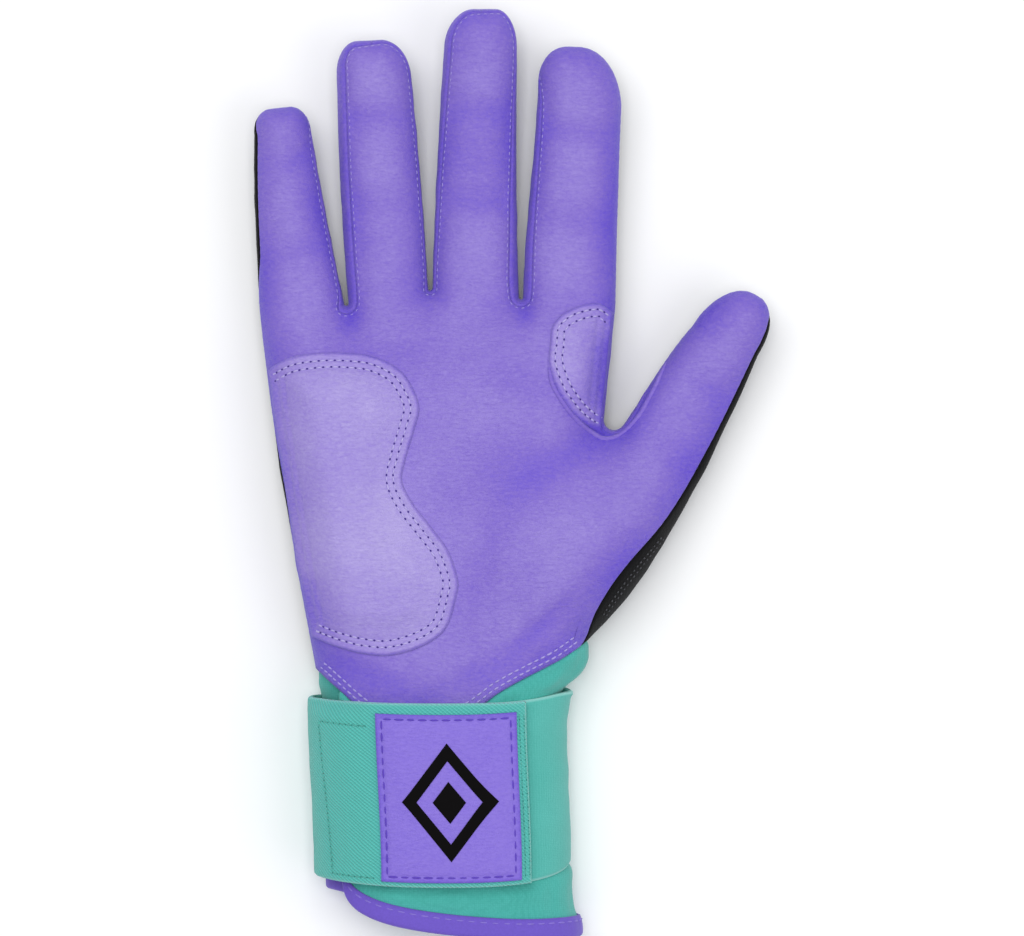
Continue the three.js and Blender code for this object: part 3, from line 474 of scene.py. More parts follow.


# Painted shade, deeper colour where the leather turns away: from, to, depth and half width
PAINTED_SHADE_STROKES = [
    ((54, 106), (51, 60), 0.34, 8.0), ((24, 122), (24, 92), 0.16, 6.0),
    ((11, 112), (11, 92), 0.12, 9.0), ((-29, 104), (-26, 66), 0.16, 5.0),
    ((-25.5, 59), (-26.5, 47), 0.42, 4.0), ((-38, 92), (-30, 62), 0.2, 5.0),
    ((-34, -50), (0, -62), 0.3, 10.0), ((4, -60), (42, -42), 0.28, 7.0), ((44, -32), (62, -8), 0.36, 8.0),
    ((62, -8), (84, 34), 0.26, 7.0), ((6, 4), (34, 12), 0.14, 12.0), ((51.5, 50), (49.5, 24), 0.7, 9.0),
    ((-51, 40), (-42, -22), 0.24, 6.0), ((-42, -22), (-30, -40), 0.3, 8.0), ((-53, 84), (-49, 44), 0.1, 5.0),
    ((24.5, 57), (25, 50), 0.3, 3.0), ((72, 50), (90, 56), 0.18, 8.0),
]


def crease_depth(xy, creases):
    total = np.zeros(len(xy))
    for a, b, depth, width in creases:
        a, b = np.array(a, float), np.array(b, float)
        d = b - a
        share = np.clip(((xy - a) @ d) / (d @ d), 0, 1)
        away = np.linalg.norm(xy - a - share[:, None] * d, axis=1)
        ends = np.sin(np.pi * np.clip(share, 0.04, 0.96)) ** 0.6
        total -= depth * ends * np.exp(-(away / width) ** 2)
    return total


def wave_noise(xy, scale, seed, stretch=(1.0, 1.0)):
    sx, sy = stretch[0] / scale, stretch[1] / scale
    return np.array([noise.noise(Vector((x * sx, y * sy, seed))) for x, y in xy])


def palm_relief(xy):
    relief = crease_depth(xy, CREASES) + crease_depth(xy, FINE_CREASES)
    relief += 0.34 * wave_noise(xy, 15.0, 1.7) + 0.16 * wave_noise(xy, 5.5, 4.1)
    palm = smooth(-xy[:, 1], -62.0, -20.0)
    turned = np.column_stack([xy @ [0.8, 0.6], xy @ [-0.6, 0.8]])
    relief += 0.14 * palm * wave_noise(turned, 3.2, 9.3, (0.28, 1.0))
    return relief


def back_relief(xy):
    return 0.4 * wave_noise(xy, 16.0, 12.7) + 0.14 * wave_noise(xy, 6.0, 15.1)


# Seams at every ray
def seam_lengths():
    """Where the front and the back seam run at every ray, eased along the outline."""
    front = np.full(shape["count"], SIDE_SEAM)
    back = np.full(shape["count"], SIDE_SEAM)
    names = [f["name"] for f in FINGERS]

    def taper(seam, first, last, at_first, at_last, ends):
        """A seam length along rays, which eases to the finger's own seam over the runs at its ends."""
        rays = np.arange(max(first - ends[0], 0), last + ends[1])
        along = np.interp(rays, (first, last - 1), (at_first, at_last))
        rising = smooth(rays, first - ends[0], first + ends[0]) if ends[0] else 1.0
        falling = 1 - smooth(rays, last - 1 - ends[1], last - 1 + ends[1]) if ends[1] else 1.0
        seam[rays] = mix(SIDE_SEAM, along, rising * falling)

    first, last = start_of["little.left"], start_of["little.left_arc"]
    y = shape["edge"][:first, 1]
    sliver = ULNAR_SLIVER["depth"] * np.exp(-((y - ULNAR_SLIVER["y"]) / ULNAR_SLIVER["reach"]) ** 2)
    for seam in (front, back):
        seam[:first] += sliver
        taper(seam, first + LITTLE_RISE, last + LITTLE_TURN, *LITTLE_SEAM, (LITTLE_RISE, LITTLE_TURN))
    for i, (a, b) in enumerate(zip(names, names[1:])):
        right, crotch = start_of[f"{a}.right"], start_of[f"crotch.{i}"]
        left, end = start_of[f"{b}.left"], start_of[f"{b}.left_arc"]
        opening = TIP_RUN if i == 0 else 0
        closing = TIP_RUN if i == len(names) - 2 else 0
        taper(front, right, crotch, *FRONT_SEAMS[f"{a}.right"][::-1], (opening, 0))
        taper(front, left, end, *FRONT_SEAMS[f"{b}.left"], (0, closing))
        front[crotch:left] = CROTCH_SEAMS[i]
        taper(back, right, end, -BACK_SEAM, -BACK_SEAM, (opening, closing))
    for name in names[1:-1]:
        tip = slice(start_of[f"{name}.left_arc"], start_of[f"{name}.right"])
        ends = FRONT_SEAMS[f"{name}.left"][1], FRONT_SEAMS[f"{name}.right"][1]
        front[tip] = np.linspace(*ends, tip.stop - tip.start)
        back[tip] = -BACK_SEAM
    web = np.arange(start_of["radial"], start_of["thumb.left"] + THUMB_STEPS // 2)
    front[web] = np.interp(web, (start_of["radial"], start_of["web"], start_of["thumb.left"] + 10, web[-1]),
                           (SIDE_SEAM, WEB_SEAM, WEB_SEAM, SIDE_SEAM))
    back[web] = -WEB_SEAM
    outer = start_of["thumb.right"]
    share = np.linspace(1, 0, shape["count"] - outer)
    front[outer:] = back[outer:] = np.interp(share, np.linspace(0, 1, len(THUMB_SEAM)), THUMB_SEAM)
    front[outer - THUMB_RUN:outer] = back[outer - THUMB_RUN:outer] = THUMB_SEAM[-1]
    kernel = np.hanning(SEAM_EASE)
    kernel /= kernel.sum()
    return [np.convolve(np.pad(seam, SEAM_EASE // 2, mode="edge"), kernel, "valid") for seam in (front, back)]


front_seam, back_seam = seam_lengths()


def over_side(index, length):
    """Points on the form at lengths over the side from the rays' edges: plan places, places, normals."""
    side = np.where(length < 0, -1, 1)
    edge = shape["edge"][index]
    place_xy = np.empty_like(edge)
    position = np.empty((len(index), 3))
    normal = np.empty((len(index), 3))
    for sign, inward in ((1, shape["inward"]), (-1, shape["inward_back"])):
        rows = side == sign
        if not rows.any():
            continue
        crown, rounding, _ = form_sizes(edge[rows], sign)
        angle = np.minimum(np.abs(length[rows]) / ((crown + rounding) / 2), np.pi / 2)
        inset = np.minimum(rounding * (1 - np.cos(angle)), shape["reach"][index][rows])
        place_xy[rows] = edge[rows] + inward[index][rows] * inset[:, None]
        position[rows] = form_points(place_xy[rows], sign)
        outward = shape["facing"][index][rows] * (crown * np.cos(angle))[:, None]
        normal[rows] = unit(np.column_stack([outward, sign * rounding * np.sin(angle)]))
    return place_xy, position, normal


def core_length(side):
    crown, rounding, _ = form_sizes(shape["edge"], side)
    return CORE_ANGLE * (crown + rounding) / 2


# Mesh tools
def weld(grids, flips, extras):
    """Joins grids of points into one sheet of shared vertices; extras are per-point values."""
    points = np.concatenate([g.reshape(-1, 3) for g in grids])
    values = np.concatenate([e.reshape(-1, e.shape[-1]) for e in extras])
    quads, base = [], 0
    for grid, flip in zip(grids, flips):
        rows, columns = grid.shape[:2]
        index = base + np.arange(rows * columns).reshape(rows, columns)
        quad = np.stack([index[:-1, :-1], index[:-1, 1:], index[1:, 1:], index[1:, :-1]], -1).reshape(-1, 4)
        quads.append(quad[:, ::-1] if flip else quad)
        base += rows * columns
    keys = np.round(points / WELD).astype(np.int64)
    _, first, inverse = np.unique(keys, axis=0, return_index=True, return_inverse=True)
    faces = inverse.reshape(-1)[np.concatenate(quads)]
    clean = []
    for face in faces.tolist():
        corners = [v for i, v in enumerate(face) if v != face[i - 1]]
        if len(set(corners)) > 2:
            clean.append(corners)
    return points[first], clean, values[first]


def corner_normals(points, faces):
    """Normals at the points of a mesh of triangles and quads."""
    normals = np.zeros_like(points)
    for size in (3, 4):
        group = np.array([f for f in faces if len(f) == size])
        if not len(group):
            continue
        a, b, c = points[group[:, 0]], points[group[:, 1]], points[group[:, 2]]
        d = points[group[:, -1]]
        face = np.cross(c - a, d - b) if size == 4 else np.cross(b - a, c - a)
        for k in range(size):
            np.add.at(normals, group[:, k], face)
    return unit(normals)


def thicken(points, faces, values, thickness, normals=None):
    """A sheet with a thickness under it, as one closed body."""
    normals = corner_normals(points, faces) if normals is None else normals
    count = len(points)
    under = points - normals * np.reshape(thickness, (-1, 1) if np.ndim(thickness) else (1, 1))
    edges = set()
    for face in faces:
        edges.update(zip(face, face[1:] + face[:1]))
    rim = [(b, a, a + count, b + count) for a, b in edges if (b, a) not in edges]
    turned = [tuple(v + count for v in reversed(face)) for face in faces]
    every = [tuple(f) for f in faces] + turned + rim
    return np.concatenate([points, under]), every, np.concatenate([values, values])


def make_mesh(name, points, faces, materials, tone=None, face_materials=None, uv=None):
    mesh = bpy.data.meshes.new(name)
    mesh.from_pydata((np.asarray(points) * MM).tolist(), [], [tuple(f) for f in faces])
    mesh.polygons.foreach_set("use_smooth", [True] * len(mesh.polygons))
    if tone is not None:
        layer = mesh.attributes.new("tone", "FLOAT", "POINT")
        layer.data.foreach_set("value", np.ascontiguousarray(tone[:, 0], dtype=np.float32))
    if uv is not None:
        corners = np.empty(len(mesh.loops), dtype=np.int32)
        mesh.loops.foreach_get("vertex_index", corners)
        layer = mesh.uv_layers.new(name="cloth")
        layer.data.foreach_set("uv", np.ascontiguousarray(uv[corners], dtype=np.float32).ravel())
    for material in materials:
        mesh.materials.append(material)
    if face_materials is not None:
        mesh.polygons.foreach_set("material_index", face_materials)
    mesh.update()
    piece = bpy.data.objects.new(name, mesh)
    bpy.context.scene.collection.objects.link(piece)
    return piece


def attach(piece, body, node=None):
    """Rides a piece on its body, and puts it in the place of a solid if it has one."""
    if node is not None:
        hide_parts(node)
    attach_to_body(piece, body)


def sewn_sheet(name, node, body, material, grids, flips, tones, thickness):
    """Grids welded into one sheet, thickened and attached as a piece."""
    points, faces, values = thicken(*weld(grids, flips, tones), thickness)
    attach(make_mesh(name, points, faces, [material], values), body, node)


def fill_between(bottom, top, left, right):
    """Grid of plan places between four sides, each a run of places."""
    v = np.linspace(0, 1, len(left))[:, None, None]
    u = np.linspace(0, 1, len(bottom))[None, :, None]
    sides = mix(left[:, None], right[:, None], u) + mix(bottom[None], top[None], v)
    corners = mix(mix(bottom[0], bottom[-1], u), mix(top[0], top[-1], u), v)
    return sides - corners


# Materials
class Nodes:
    """Shorthand for a material's node tree."""

    def __init__(self, name):
        self.material = bpy.data.materials.new(name)
        self.material.use_nodes = True
        self.tree = self.material.node_tree
        self.shader = self.tree.nodes["Principled BSDF"]

    def add(self, kind, inputs=None, **settings):
        node = self.tree.nodes.new("ShaderNode" + kind)
        for key, value in settings.items():
            setattr(node, key, value)
        for key, value in (inputs or {}).items():
            self.put(node.inputs[key], value)
        return node

    def put(self, socket, value):
        if isinstance(value, bpy.types.NodeSocket):
            self.tree.links.new(value, socket)
        else:
            socket.default_value = value

    def math(self, operation, a, b=0.0, clamp=False):
        return self.add("Math", {0: a, 1: b}, operation=operation, use_clamp=clamp).outputs[0]

    def total(self, a, b, clamp=False):
        return self.math("ADD", a, b, clamp)

    def times(self, a, b):
        return self.math("MULTIPLY", a, b)

    def vary(self, base, pattern, amount, clamp=False):
        """A value moved up and down by a pattern that runs about 0.5."""
        return self.total(base, self.times(self.math("SUBTRACT", pattern, 0.5), amount), clamp)

    def blend(self, share, a, b):
        node = self.add("Mix", data_type="RGBA")
        for socket, value in ((node.inputs[0], share), (node.inputs[6], a), (node.inputs[7], b)):
            self.put(socket, value)
        return node.outputs[2]

    def ramp(self, value, *stops):
        node = self.add("ValToRGB", {0: value})
        ramp = node.color_ramp
        while len(ramp.elements) < len(stops):
            ramp.elements.new(0.5)
        for element, (position, color) in zip(ramp.elements, stops):
            element.position = position
            element.color = color
        return node.outputs[0]

    def bump(self, height, distance, strength, below=None):
        inputs = {"Height": height, "Distance": distance, "Strength": strength}
        if below is not None:
            inputs["Normal"] = below
        return self.add("Bump", inputs).outputs[0]

    def noise(self, vector, scale, detail=3.0, roughness=0.55, distortion=0.0):
        return self.add("TexNoise", {"Vector": vector, "Scale": scale, "Detail": detail,
                                     "Roughness": roughness, "Distortion": distortion}).outputs[0]

    def place(self):
        return self.add("TexCoord").outputs["Object"]

    def tone(self):
        return self.add("Attribute", attribute_name="tone").outputs["Fac"]

    def surface(self, color, rough, normal, gloss, sheen, sheen_rough=0.5):
        """Sets the shader's sockets and gives the finished material."""
        values = {"Base Color": color, "Roughness": rough, "Normal": normal, "Specular IOR Level": gloss,
                  "Sheen Weight": sheen, "Sheen Roughness": sheen_rough}
        for socket, value in values.items():
            self.put(self.shader.inputs[socket], value)
        return self.material


def rgb(code):
    """Linear colour from a hexadecimal display colour."""
    parts = [int(code[i:i + 2], 16) / 255 for i in (0, 2, 4)]
    return tuple(p / 12.92 if p <= 0.04045 else ((p + 0.055) / 1.055) ** 2.4 for p in parts) + (1.0,)


def leather(name, light, mid, dark):
    """Two tones by the tone attribute, which carries painted shade: dark for shaded and light for lit
    leather, with broad, fine and wrinkled grain.
    """
    n = Nodes(name)
    where = n.place()
    tone = n.tone()
    squeezed = n.add("Mapping", {"Vector": where, "Scale": (0.7, 2.0, 1.0)}).outputs[0]
    broad = n.noise(where, 55.0, 3.0, 0.6)
    fine = n.noise(where, 1100.0, 3.0, 0.65)
    wrinkles = n.noise(squeezed, 680.0, 5.0, 0.68, 0.8)
    cells = n.add("TexVoronoi", {"Vector": where, "Scale": 1500.0}, feature="DISTANCE_TO_EDGE").outputs[0]
    share = n.vary(n.vary(n.vary(tone, broad, 0.34), wrinkles, 0.75), fine, 0.4, True)
    color = n.ramp(share, (0.0, rgb(dark)), (0.5, rgb(mid)), (1.0, rgb(light)))
    pores = n.math("MINIMUM", n.times(cells, 3.0), 1.0)
    normal = n.bump(wrinkles, 0.0003, 0.9, n.bump(pores, 0.00006, 0.7))
    return n.surface(color, n.total(0.5, n.times(broad, 0.22)), normal, 0.4, 0.12)


def knit(name, light, dark, pitch, rough=0.85, depth=0.0002, sheen=0.2, hem=None):
    """Loops at a pitch in millimetres, with the hem colour, a painted highlight along the turned rim, where
    the tone attribute is 1.
    """
    n = Nodes(name)
    where = n.place()
    scale = 1.0 / (pitch * MM)
    loops = n.add("TexVoronoi", {"Vector": where, "Scale": scale, "Randomness": 0.35}).outputs["Distance"]
    broad = n.noise(where, 70.0, 3.0)
    fuzz = n.noise(where, 2600.0, 2.0)
    share = n.vary(n.total(n.times(loops, 0.8), n.times(fuzz, 0.4)), broad, 0.6, True)
    color = n.blend(share, rgb(light), rgb(dark))
    if hem is not None:
        color = n.blend(n.tone(), color, rgb(hem))
    return n.surface(color, rough, n.bump(loops, -depth, 0.6), 0.15, sheen, 0.6)


def twill(name, light, dark, pitch, slope, hem):
    """Diagonal ribs, with the hem colour as a painted highlight along the turned rim where the tone attribute
    is 1; the cloth map is in millimetres.
    """
    n = Nodes(name)
    flat = n.add("UVMap", uv_map="cloth").outputs[0]
    split = n.add("SeparateXYZ", {0: flat})
    across = n.total(split.outputs[0], n.times(split.outputs[1], slope))
    across = n.total(across, n.times(n.noise(flat, 0.16, 2.0), 1.3))
    ribs = n.math("SINE", n.times(across, 2 * math.pi / pitch))
    ribs = n.total(n.times(ribs, 0.5), 0.5)
    yarn = n.math("SINE", n.times(split.outputs[1], 2 * math.pi / 0.5))
    fuzz = n.noise(flat, 3.2, 2.0)
    height = n.total(ribs, n.times(yarn, 0.15))
    share = n.total(n.times(ribs, 0.55), n.times(fuzz, 0.45), True)
    color = n.blend(n.tone(), n.blend(share, rgb(dark), rgb(light)), rgb(hem))
    return n.surface(color, 0.85, n.bump(height, 0.00022, 0.9), 0.25, 0.25)


def plain(name, code, rough, detail=1200.0, depth=0.00005, sheen=0.0, spread=0.25, gloss=0.3):
    """One colour with a fine speckle; spread is how much darker its dark spots are."""
    n = Nodes(name)
    fine = n.noise(n.place(), detail, 2.0)
    color = rgb(code)
    shade = tuple(c * (1 - spread) for c in color[:3]) + (1.0,)
    return n.surface(n.blend(fine, shade, color), rough, n.bump(fine, depth, 0.6), gloss, sheen)


def sewing_thread(name, code, rough=0.6):
    return plain(name, code, rough, 4000.0, 0.00003, 0.1)


# Each leather's dark and light colours are its shaded and lit copies, picked by the painted shade in the tone
# attribute.
palm_leather = leather("palm_leather", "9D8BD5", "8169C9", "5F46CB")
patch_leather = leather("patch_leather", "B0A2DC", "937ED1", "654CCB")
strap_leather = leather("strap_leather", "937DDB", "866FD6", "6E55CC")
black_knit = knit("black_knit", "121113", "040405", 0.9, sheen=0.03)
neoprene = knit("neoprene", "52BAB0", "3AA094", 0.6, 0.8, 0.00012)
# The hem colours of band_cloth and strap_twill are painted highlights along their turned rims.
band_cloth = knit("band_cloth", "5FBFB5", "46A99D", 0.5, 0.85, 0.0001, hem="9ADAD2")
strap_twill = twill("strap_twill", "64C8BE", "41AA9E", 1.38, 1.28, "86D2C9")
binding_tape = plain("binding_tape", "7359CC", 0.75, 1600.0, 0.0001, 0.15)
black_hook = plain("black_hook", "1C1C1F", 0.9, 1500.0, 0.0003)
light_thread = sewing_thread("light_thread", "BFB2EC", 0.55)
hem_thread = sewing_thread("hem_thread", "B2A4E8", 0.55)
seam_thread = sewing_thread("seam_thread", "A696DF")
violet_thread = sewing_thread("violet_thread", "8F78DE")
deep_thread = sewing_thread("deep_thread", "6243C4")
teal_thread = sewing_thread("teal_thread", "58B4A8")
black_thread = sewing_thread("black_thread", "47474D")
# Stitch holes are flat dark discs: painted shade where the holes are.
painted_hole_shade = plain("painted_hole_shade", "44318A", 0.95)
painted_teal_hole_shade = plain("painted_teal_hole_shade", "35877D", 0.95)
black_ink = plain("black_ink", "0E0C0D", 0.8, 900.0, 0.00006, gloss=0.05)
pad_foam = plain("pad_foam", "3A3A3C", 0.95, 1500.0, 0.0002)


# Leather and fabric over the hand
def edge_roll(away):
    """How far a panel's edge is rolled in, at a distance from it."""
    return ROLL_DEPTH * (1 - quarter_round(away / ROLL_WIDTH))


def ring_grid(first, last, side, seam, relief):
    """Rows from a panel's seam to its core along a run of rays, its edge rolled in."""
    index = np.arange(first, last + 1)
    start = seam[index] + side * SEAM_GAP / 2
    end = side * core_length(side)[index]
    if side > 0:
        end = np.maximum(end, start + LEAST_RING)
    shares = np.linspace(0, 1, RING_ROWS + 1) ** 1.5
    length = start[:, None] + (end - start)[:, None] * shares
    flat = np.repeat(index, len(shares))
    xy, position, normal = over_side(flat, length.ravel())
    away = np.abs(length - start[:, None]).ravel()
    walk = walk_along(shape["edge"])[flat]
    pucker = PUCKER_HEIGHT * np.sin(2 * np.pi * walk / PUCKER_PITCH + 2 * np.sin(walk / 9))
    offset = relief(xy) * smooth(away, 0, 3.0) - edge_roll(away) + pucker * np.exp(-away / PUCKER_REACH)
    position = position + normal * offset[:, None]
    return position.reshape(len(index), len(shares), 3), xy.reshape(len(index), len(shares), 2)


def core_places(side, shift=None):
    """Plan places where the rays end and the panel's inner blocks begin."""
    length = core_length(side)
    if side > 0:
        length = np.maximum(length, front_seam + SEAM_GAP / 2 + LEAST_RING)
    xy, _, _ = over_side(np.arange(shape["count"]), side * length)
    if shift is not None:
        for i in shift[0]:
            xy[i] += shift[1]
    return xy


def lift_grid(xy, side, relief):
    """Plan places lifted onto the form with its relief."""
    flat = xy.reshape(-1, 2)
    points = form_points(flat, side)
    points = points + form_normals(flat, side) * relief(flat)[:, None]
    return points.reshape(*xy.shape[:2], 3)


def tone_with_painted_shade(xy, side, low=0.14, high=0.68):
    """Painted shade: lighter where the leather is proud, darker toward its edges and in its creases, with a
    random tone on top.
    """
    flat = xy.reshape(-1, 2)
    _, rounding, _ = form_sizes(flat, side)
    # Painted shade: darker toward the edges, where the form turns away from the light, in the creases and
    # along the shade strokes.
    tone = low + (high - low) * quarter_round(distance_to_border(flat) / rounding) ** 1.6
    tone = tone + 0.5 * crease_depth(flat, CREASES) + crease_depth(flat, PAINTED_SHADE_STROKES)
    tone = tone + 0.16 * wave_noise(flat, 22.0, 31.0)
    return np.clip(tone, 0, 1).reshape(*xy.shape[:2], 1)


def run(places, first, last):
    return places[first:last + 1] if first <= last else places[last:first + 1][::-1]


def block_grids(places, divider, hem, hand=True, thumb=True):
    """Plan grids that fill the fingers, the palm and the thumb inside the rays' ends."""
    names = [f["name"] for f in FINGERS]
    bottoms = [start_of[f"crotch.{i}"] + CROTCH_STEPS for i in range(len(names) - 1)]
    corners = [start_of["little.left"] - 1, *bottoms, start_of["radial"] - 1]
    grids = []
    if hand:
        base_line = []
        for i, name in enumerate(names):
            share = np.linspace(0, 1, FINGER_COLUMNS + 1)[:, None]
            base = mix(places[corners[i]], places[corners[i + 1]], share)
            base = base - [0, BASE_SAG] * np.sin(np.pi * share)
            first = start_of[f"{name}.top"]
            top = run(places, first, first + FINGER_COLUMNS)
            left = run(places, corners[i], first)
            right = run(places, corners[i + 1], first + FINGER_COLUMNS)
            grids.append(fill_between(base, top, left, right))
            base_line.append(base if i == 0 else base[1:])
        base_line = np.concatenate(base_line)
        left = run(places, 0, corners[0])
        right = np.concatenate([divider, run(places, web_ray, corners[-1])[1:]])

        def across(p):
            a, b = cuff_section(p[1])
            return (p[0] - a) / (b - a)

        foot = hem_point(hem, np.linspace(across(left[0]), across(right[0]), len(base_line)))
        foot[0], foot[-1] = left[0], right[0]
        grids.append(fill_between(foot, base_line, left, right))
    if thumb:
        first = start_of["thumb.top"]
        left = run(places, web_ray, first)
        right = run(places, end_ray, first + THUMB_COLUMNS)
        grids.append(fill_between(divider[::-1], run(places, first, first + THUMB_COLUMNS), left, right))
    return grids


def panel(name, node, side, seam, relief, hem, material, thickness, shift=None, hand=True,
          thumb=True, rays=None):
    """One cut panel of the palm side (1) or the back (-1), over all rays or those from one to another."""
    places = core_places(side, shift)
    divider = mix(places[-1], places[web_ray], np.linspace(0, 1, THUMB_COLUMNS + 1)[:, None])
    first, last = rays or (0, end_ray)
    ring, ring_xy = ring_grid(first, last, side, seam, relief)
    blocks = block_grids(places, divider, hem, hand, thumb)
    lifted = [lift_grid(b, side, relief) for b in blocks]
    ring[:, -1] = lift_grid(places[first:last + 1][:, None], side, relief)[:, 0]
    grids = [ring, *lifted]
    tones = [tone_with_painted_shade(xy, side) for xy in (ring_xy, *blocks)]
    sewn_sheet(name, node, "glove", material, grids, [side < 0] * len(grids), tones, thickness)


panel("palm", "palm_panel", 1, front_seam, palm_relief, front_hem, palm_leather, LEATHER)

back_core = core_places(-1)
back_line = unit(back_core[web_ray] - back_core[end_ray])
across_back = np.array([back_line[1], -back_line[0]]) * SEAM_GAP
for name, node, shift, hand, rays in (
        ("back", "back_panel", -across_back, True, (0, web_ray)),
        ("thumb_back", "thumb_back_panel", across_back, False, (web_ray, end_ray))):
    panel(name, node, -1, back_seam, back_relief, back_hem, black_knit, FABRIC,
          ((web_ray, end_ray), shift), hand, not hand, rays)


def side_strip(name, node, first, last):
    """Leather strip between the front and the back seam along a run of rays."""
    index = np.arange(first, last + 1)
    front = front_seam[index] - SEAM_GAP / 2
    rear = back_seam[index] + SEAM_GAP / 2
    columns = 15
    length = rear[:, None] + (front - rear)[:, None] * np.linspace(0, 1, columns)
    flat = np.repeat(index, columns)
    _, position, normal = over_side(flat, length.ravel())
    away = np.minimum(np.abs(length - front[:, None]), np.abs(length - rear[:, None])).ravel()
    slack = 0.18 * wave_noise(np.column_stack([flat * 0.9, length.ravel()]), 7.0, 21.0)
    position = position + normal * (slack * smooth(away, 0, 2.0) - edge_roll(away))[:, None]
    grid = position.reshape(len(index), columns, 3)
    # Painted shade: a low tone on the strips, which turn away at the digits' sides, with a random spread.
    tone = np.full((*grid.shape[:2], 1), 0.2) + 0.1 * rng.random((*grid.shape[:2], 1))
    sewn_sheet(name, node, "glove", palm_leather, [grid], [False], [tone], LEATHER)


strip_ends = [start_of["little.right"] - TIP_RUN + 1, start_of["ring.top"] + FINGER_COLUMNS // 2,
              start_of["middle.top"] + FINGER_COLUMNS // 2, start_of["index.left_arc"] + TIP_RUN - 2]
for k, fingers in enumerate(("little_ring", "ring_middle", "middle_index")):
    side_strip(f"side_strip_{fingers}", f"fourchette_{fingers}", strip_ends[k], strip_ends[k + 1])
side_strip("web_strip", "web_gusset", start_of["radial"], start_of["thumb.left"] + THUMB_STEPS // 2 - 1)


# Sewing threads: how far they stand out, as a share of their width, and how high the holes lie
THREAD_RISE = 0.22
HOLE_LIFT = 0.12


def capsule(rings=5, sides=6):
    """A short thread lying along x: unit half length, unit half width, unit height."""
    angles = np.linspace(0, 2 * np.pi, sides, endpoint=False)
    points, faces = [], []
    for t in np.linspace(-1, 1, rings):
        fat = math.sqrt(max(0.0, 1 - (abs(t) * 0.97) ** 4))
        for a in angles:
            points.append((t, math.cos(a) * fat, math.sin(a) * fat - 0.5 * t * t))
    for r in range(rings - 1):
        for s in range(sides):
            a, b = r * sides + s, r * sides + (s + 1) % sides
            faces.append((a, a + sides, b + sides, b))
    faces.append(tuple(range(sides)))
    faces.append(tuple(range((rings - 1) * sides, rings * sides))[::-1])
    return np.array(points), faces


def disc(sides=7):
    """A flat stitch hole of unit radius: a disc whose dark colour is painted shade."""
    angles = np.linspace(0, 2 * np.pi, sides, endpoint=False)
    return np.column_stack([np.cos(angles), np.sin(angles), np.zeros(sides)]), [tuple(range(sides))]


def frames_along(path, normals, pitch):
    """Places at an even pitch on a path, with their axes, and the pitch that fits."""
    walk = walk_along(path)
    count = max(1, int(walk[-1] / pitch))
    marks = (np.arange(count) + 0.5) * walk[-1] / count
    normal = unit(places_at(marks, walk, normals))
    tangent = unit(places_at(marks + 0.3, walk, path) - places_at(marks - 0.3, walk, path))
    tangent = unit(tangent - normal * (tangent * normal).sum(1)[:, None])
    return places_at(marks, walk, path), tangent, np.cross(normal, tangent), normal, walk[-1] / count


def scatter(template, faces, centre, tangent, side, normal, sizes):
    """Copies of a small shape, each in its own frame and size."""
    scaled = template[None] * sizes[:, None]
    points = (centre[:, None] + scaled[..., :1] * tangent[:, None] + scaled[..., 1:2] * side[:, None]
              + scaled[..., 2:] * normal[:, None])
    count = len(template)
    every = [tuple(v + i * count for v in face) for i in range(len(centre)) for face in faces]
    return points.reshape(-1, 3), every


def stitch_rows(name, rows, thread, hole=painted_hole_shade, body="glove", pitch=2.3,
                length=1.5, width=0.62, hole_size=0.0):
    """rows is a list of (path, normals); one mesh holds the threads and the holes of all rows; the holes are
    flat discs whose dark colour is painted shade.
    """
    points, faces, kinds = [], [], []
    for path, normals in rows:
        centre, tangent, side, normal, step = frames_along(path, normals, pitch)
        count = len(centre)
        jitter = 1 + 0.08 * rng.standard_normal((count, 1))
        sizes = np.array([[length / 2, width / 2, width / 2]]) * jitter
        marks = [(0, capsule(), centre + normal * width * THREAD_RISE, sizes)]
        if hole_size:
            sizes = np.tile([[hole_size, hole_size * 0.8, 1.0]], (count, 1))
            marks.append((1, disc(), centre + tangent * step / 2 + normal * HOLE_LIFT, sizes))
        for kind, (template, template_faces), place, sizes in marks:
            p, f = scatter(template, template_faces, place, tangent, side, normal, sizes)
            base = sum(len(q) for q in points)
            points.append(p)
            faces.extend(tuple(v + base for v in face) for face in f)
            kinds.extend([kind] * len(f))
    piece = make_mesh(name, np.concatenate(points), faces, [thread, hole], face_materials=kinds)
    attach(piece, body)


def curve_through(points, count, closed=False):
    """Smooth line through given points (centripetal pace, Catmull-Rom)."""
    points = np.asarray(points, float)
    if closed:
        points = np.concatenate([points[-1:], points, points[:2]])
    else:
        points = np.concatenate([2 * points[:1] - points[1:2], points, 2 * points[-1:] - points[-2:-1]])
    out = []
    t = np.linspace(0, 1, 24, endpoint=False)[:, None]
    for p0, p1, p2, p3 in zip(points, points[1:], points[2:], points[3:]):
        out.append(0.5 * (2 * p1 + (p2 - p0) * t + (2 * p0 - 5 * p1 + 4 * p2 - p3) * t ** 2
                          + (3 * p1 - p0 - 3 * p2 + p3) * t ** 3))
    line = np.concatenate([*out, points[-2:-1] if not closed else out[0][:1]])
    walk = walk_along(line)
    return places_at(np.linspace(0, walk[-1], count), walk, line)


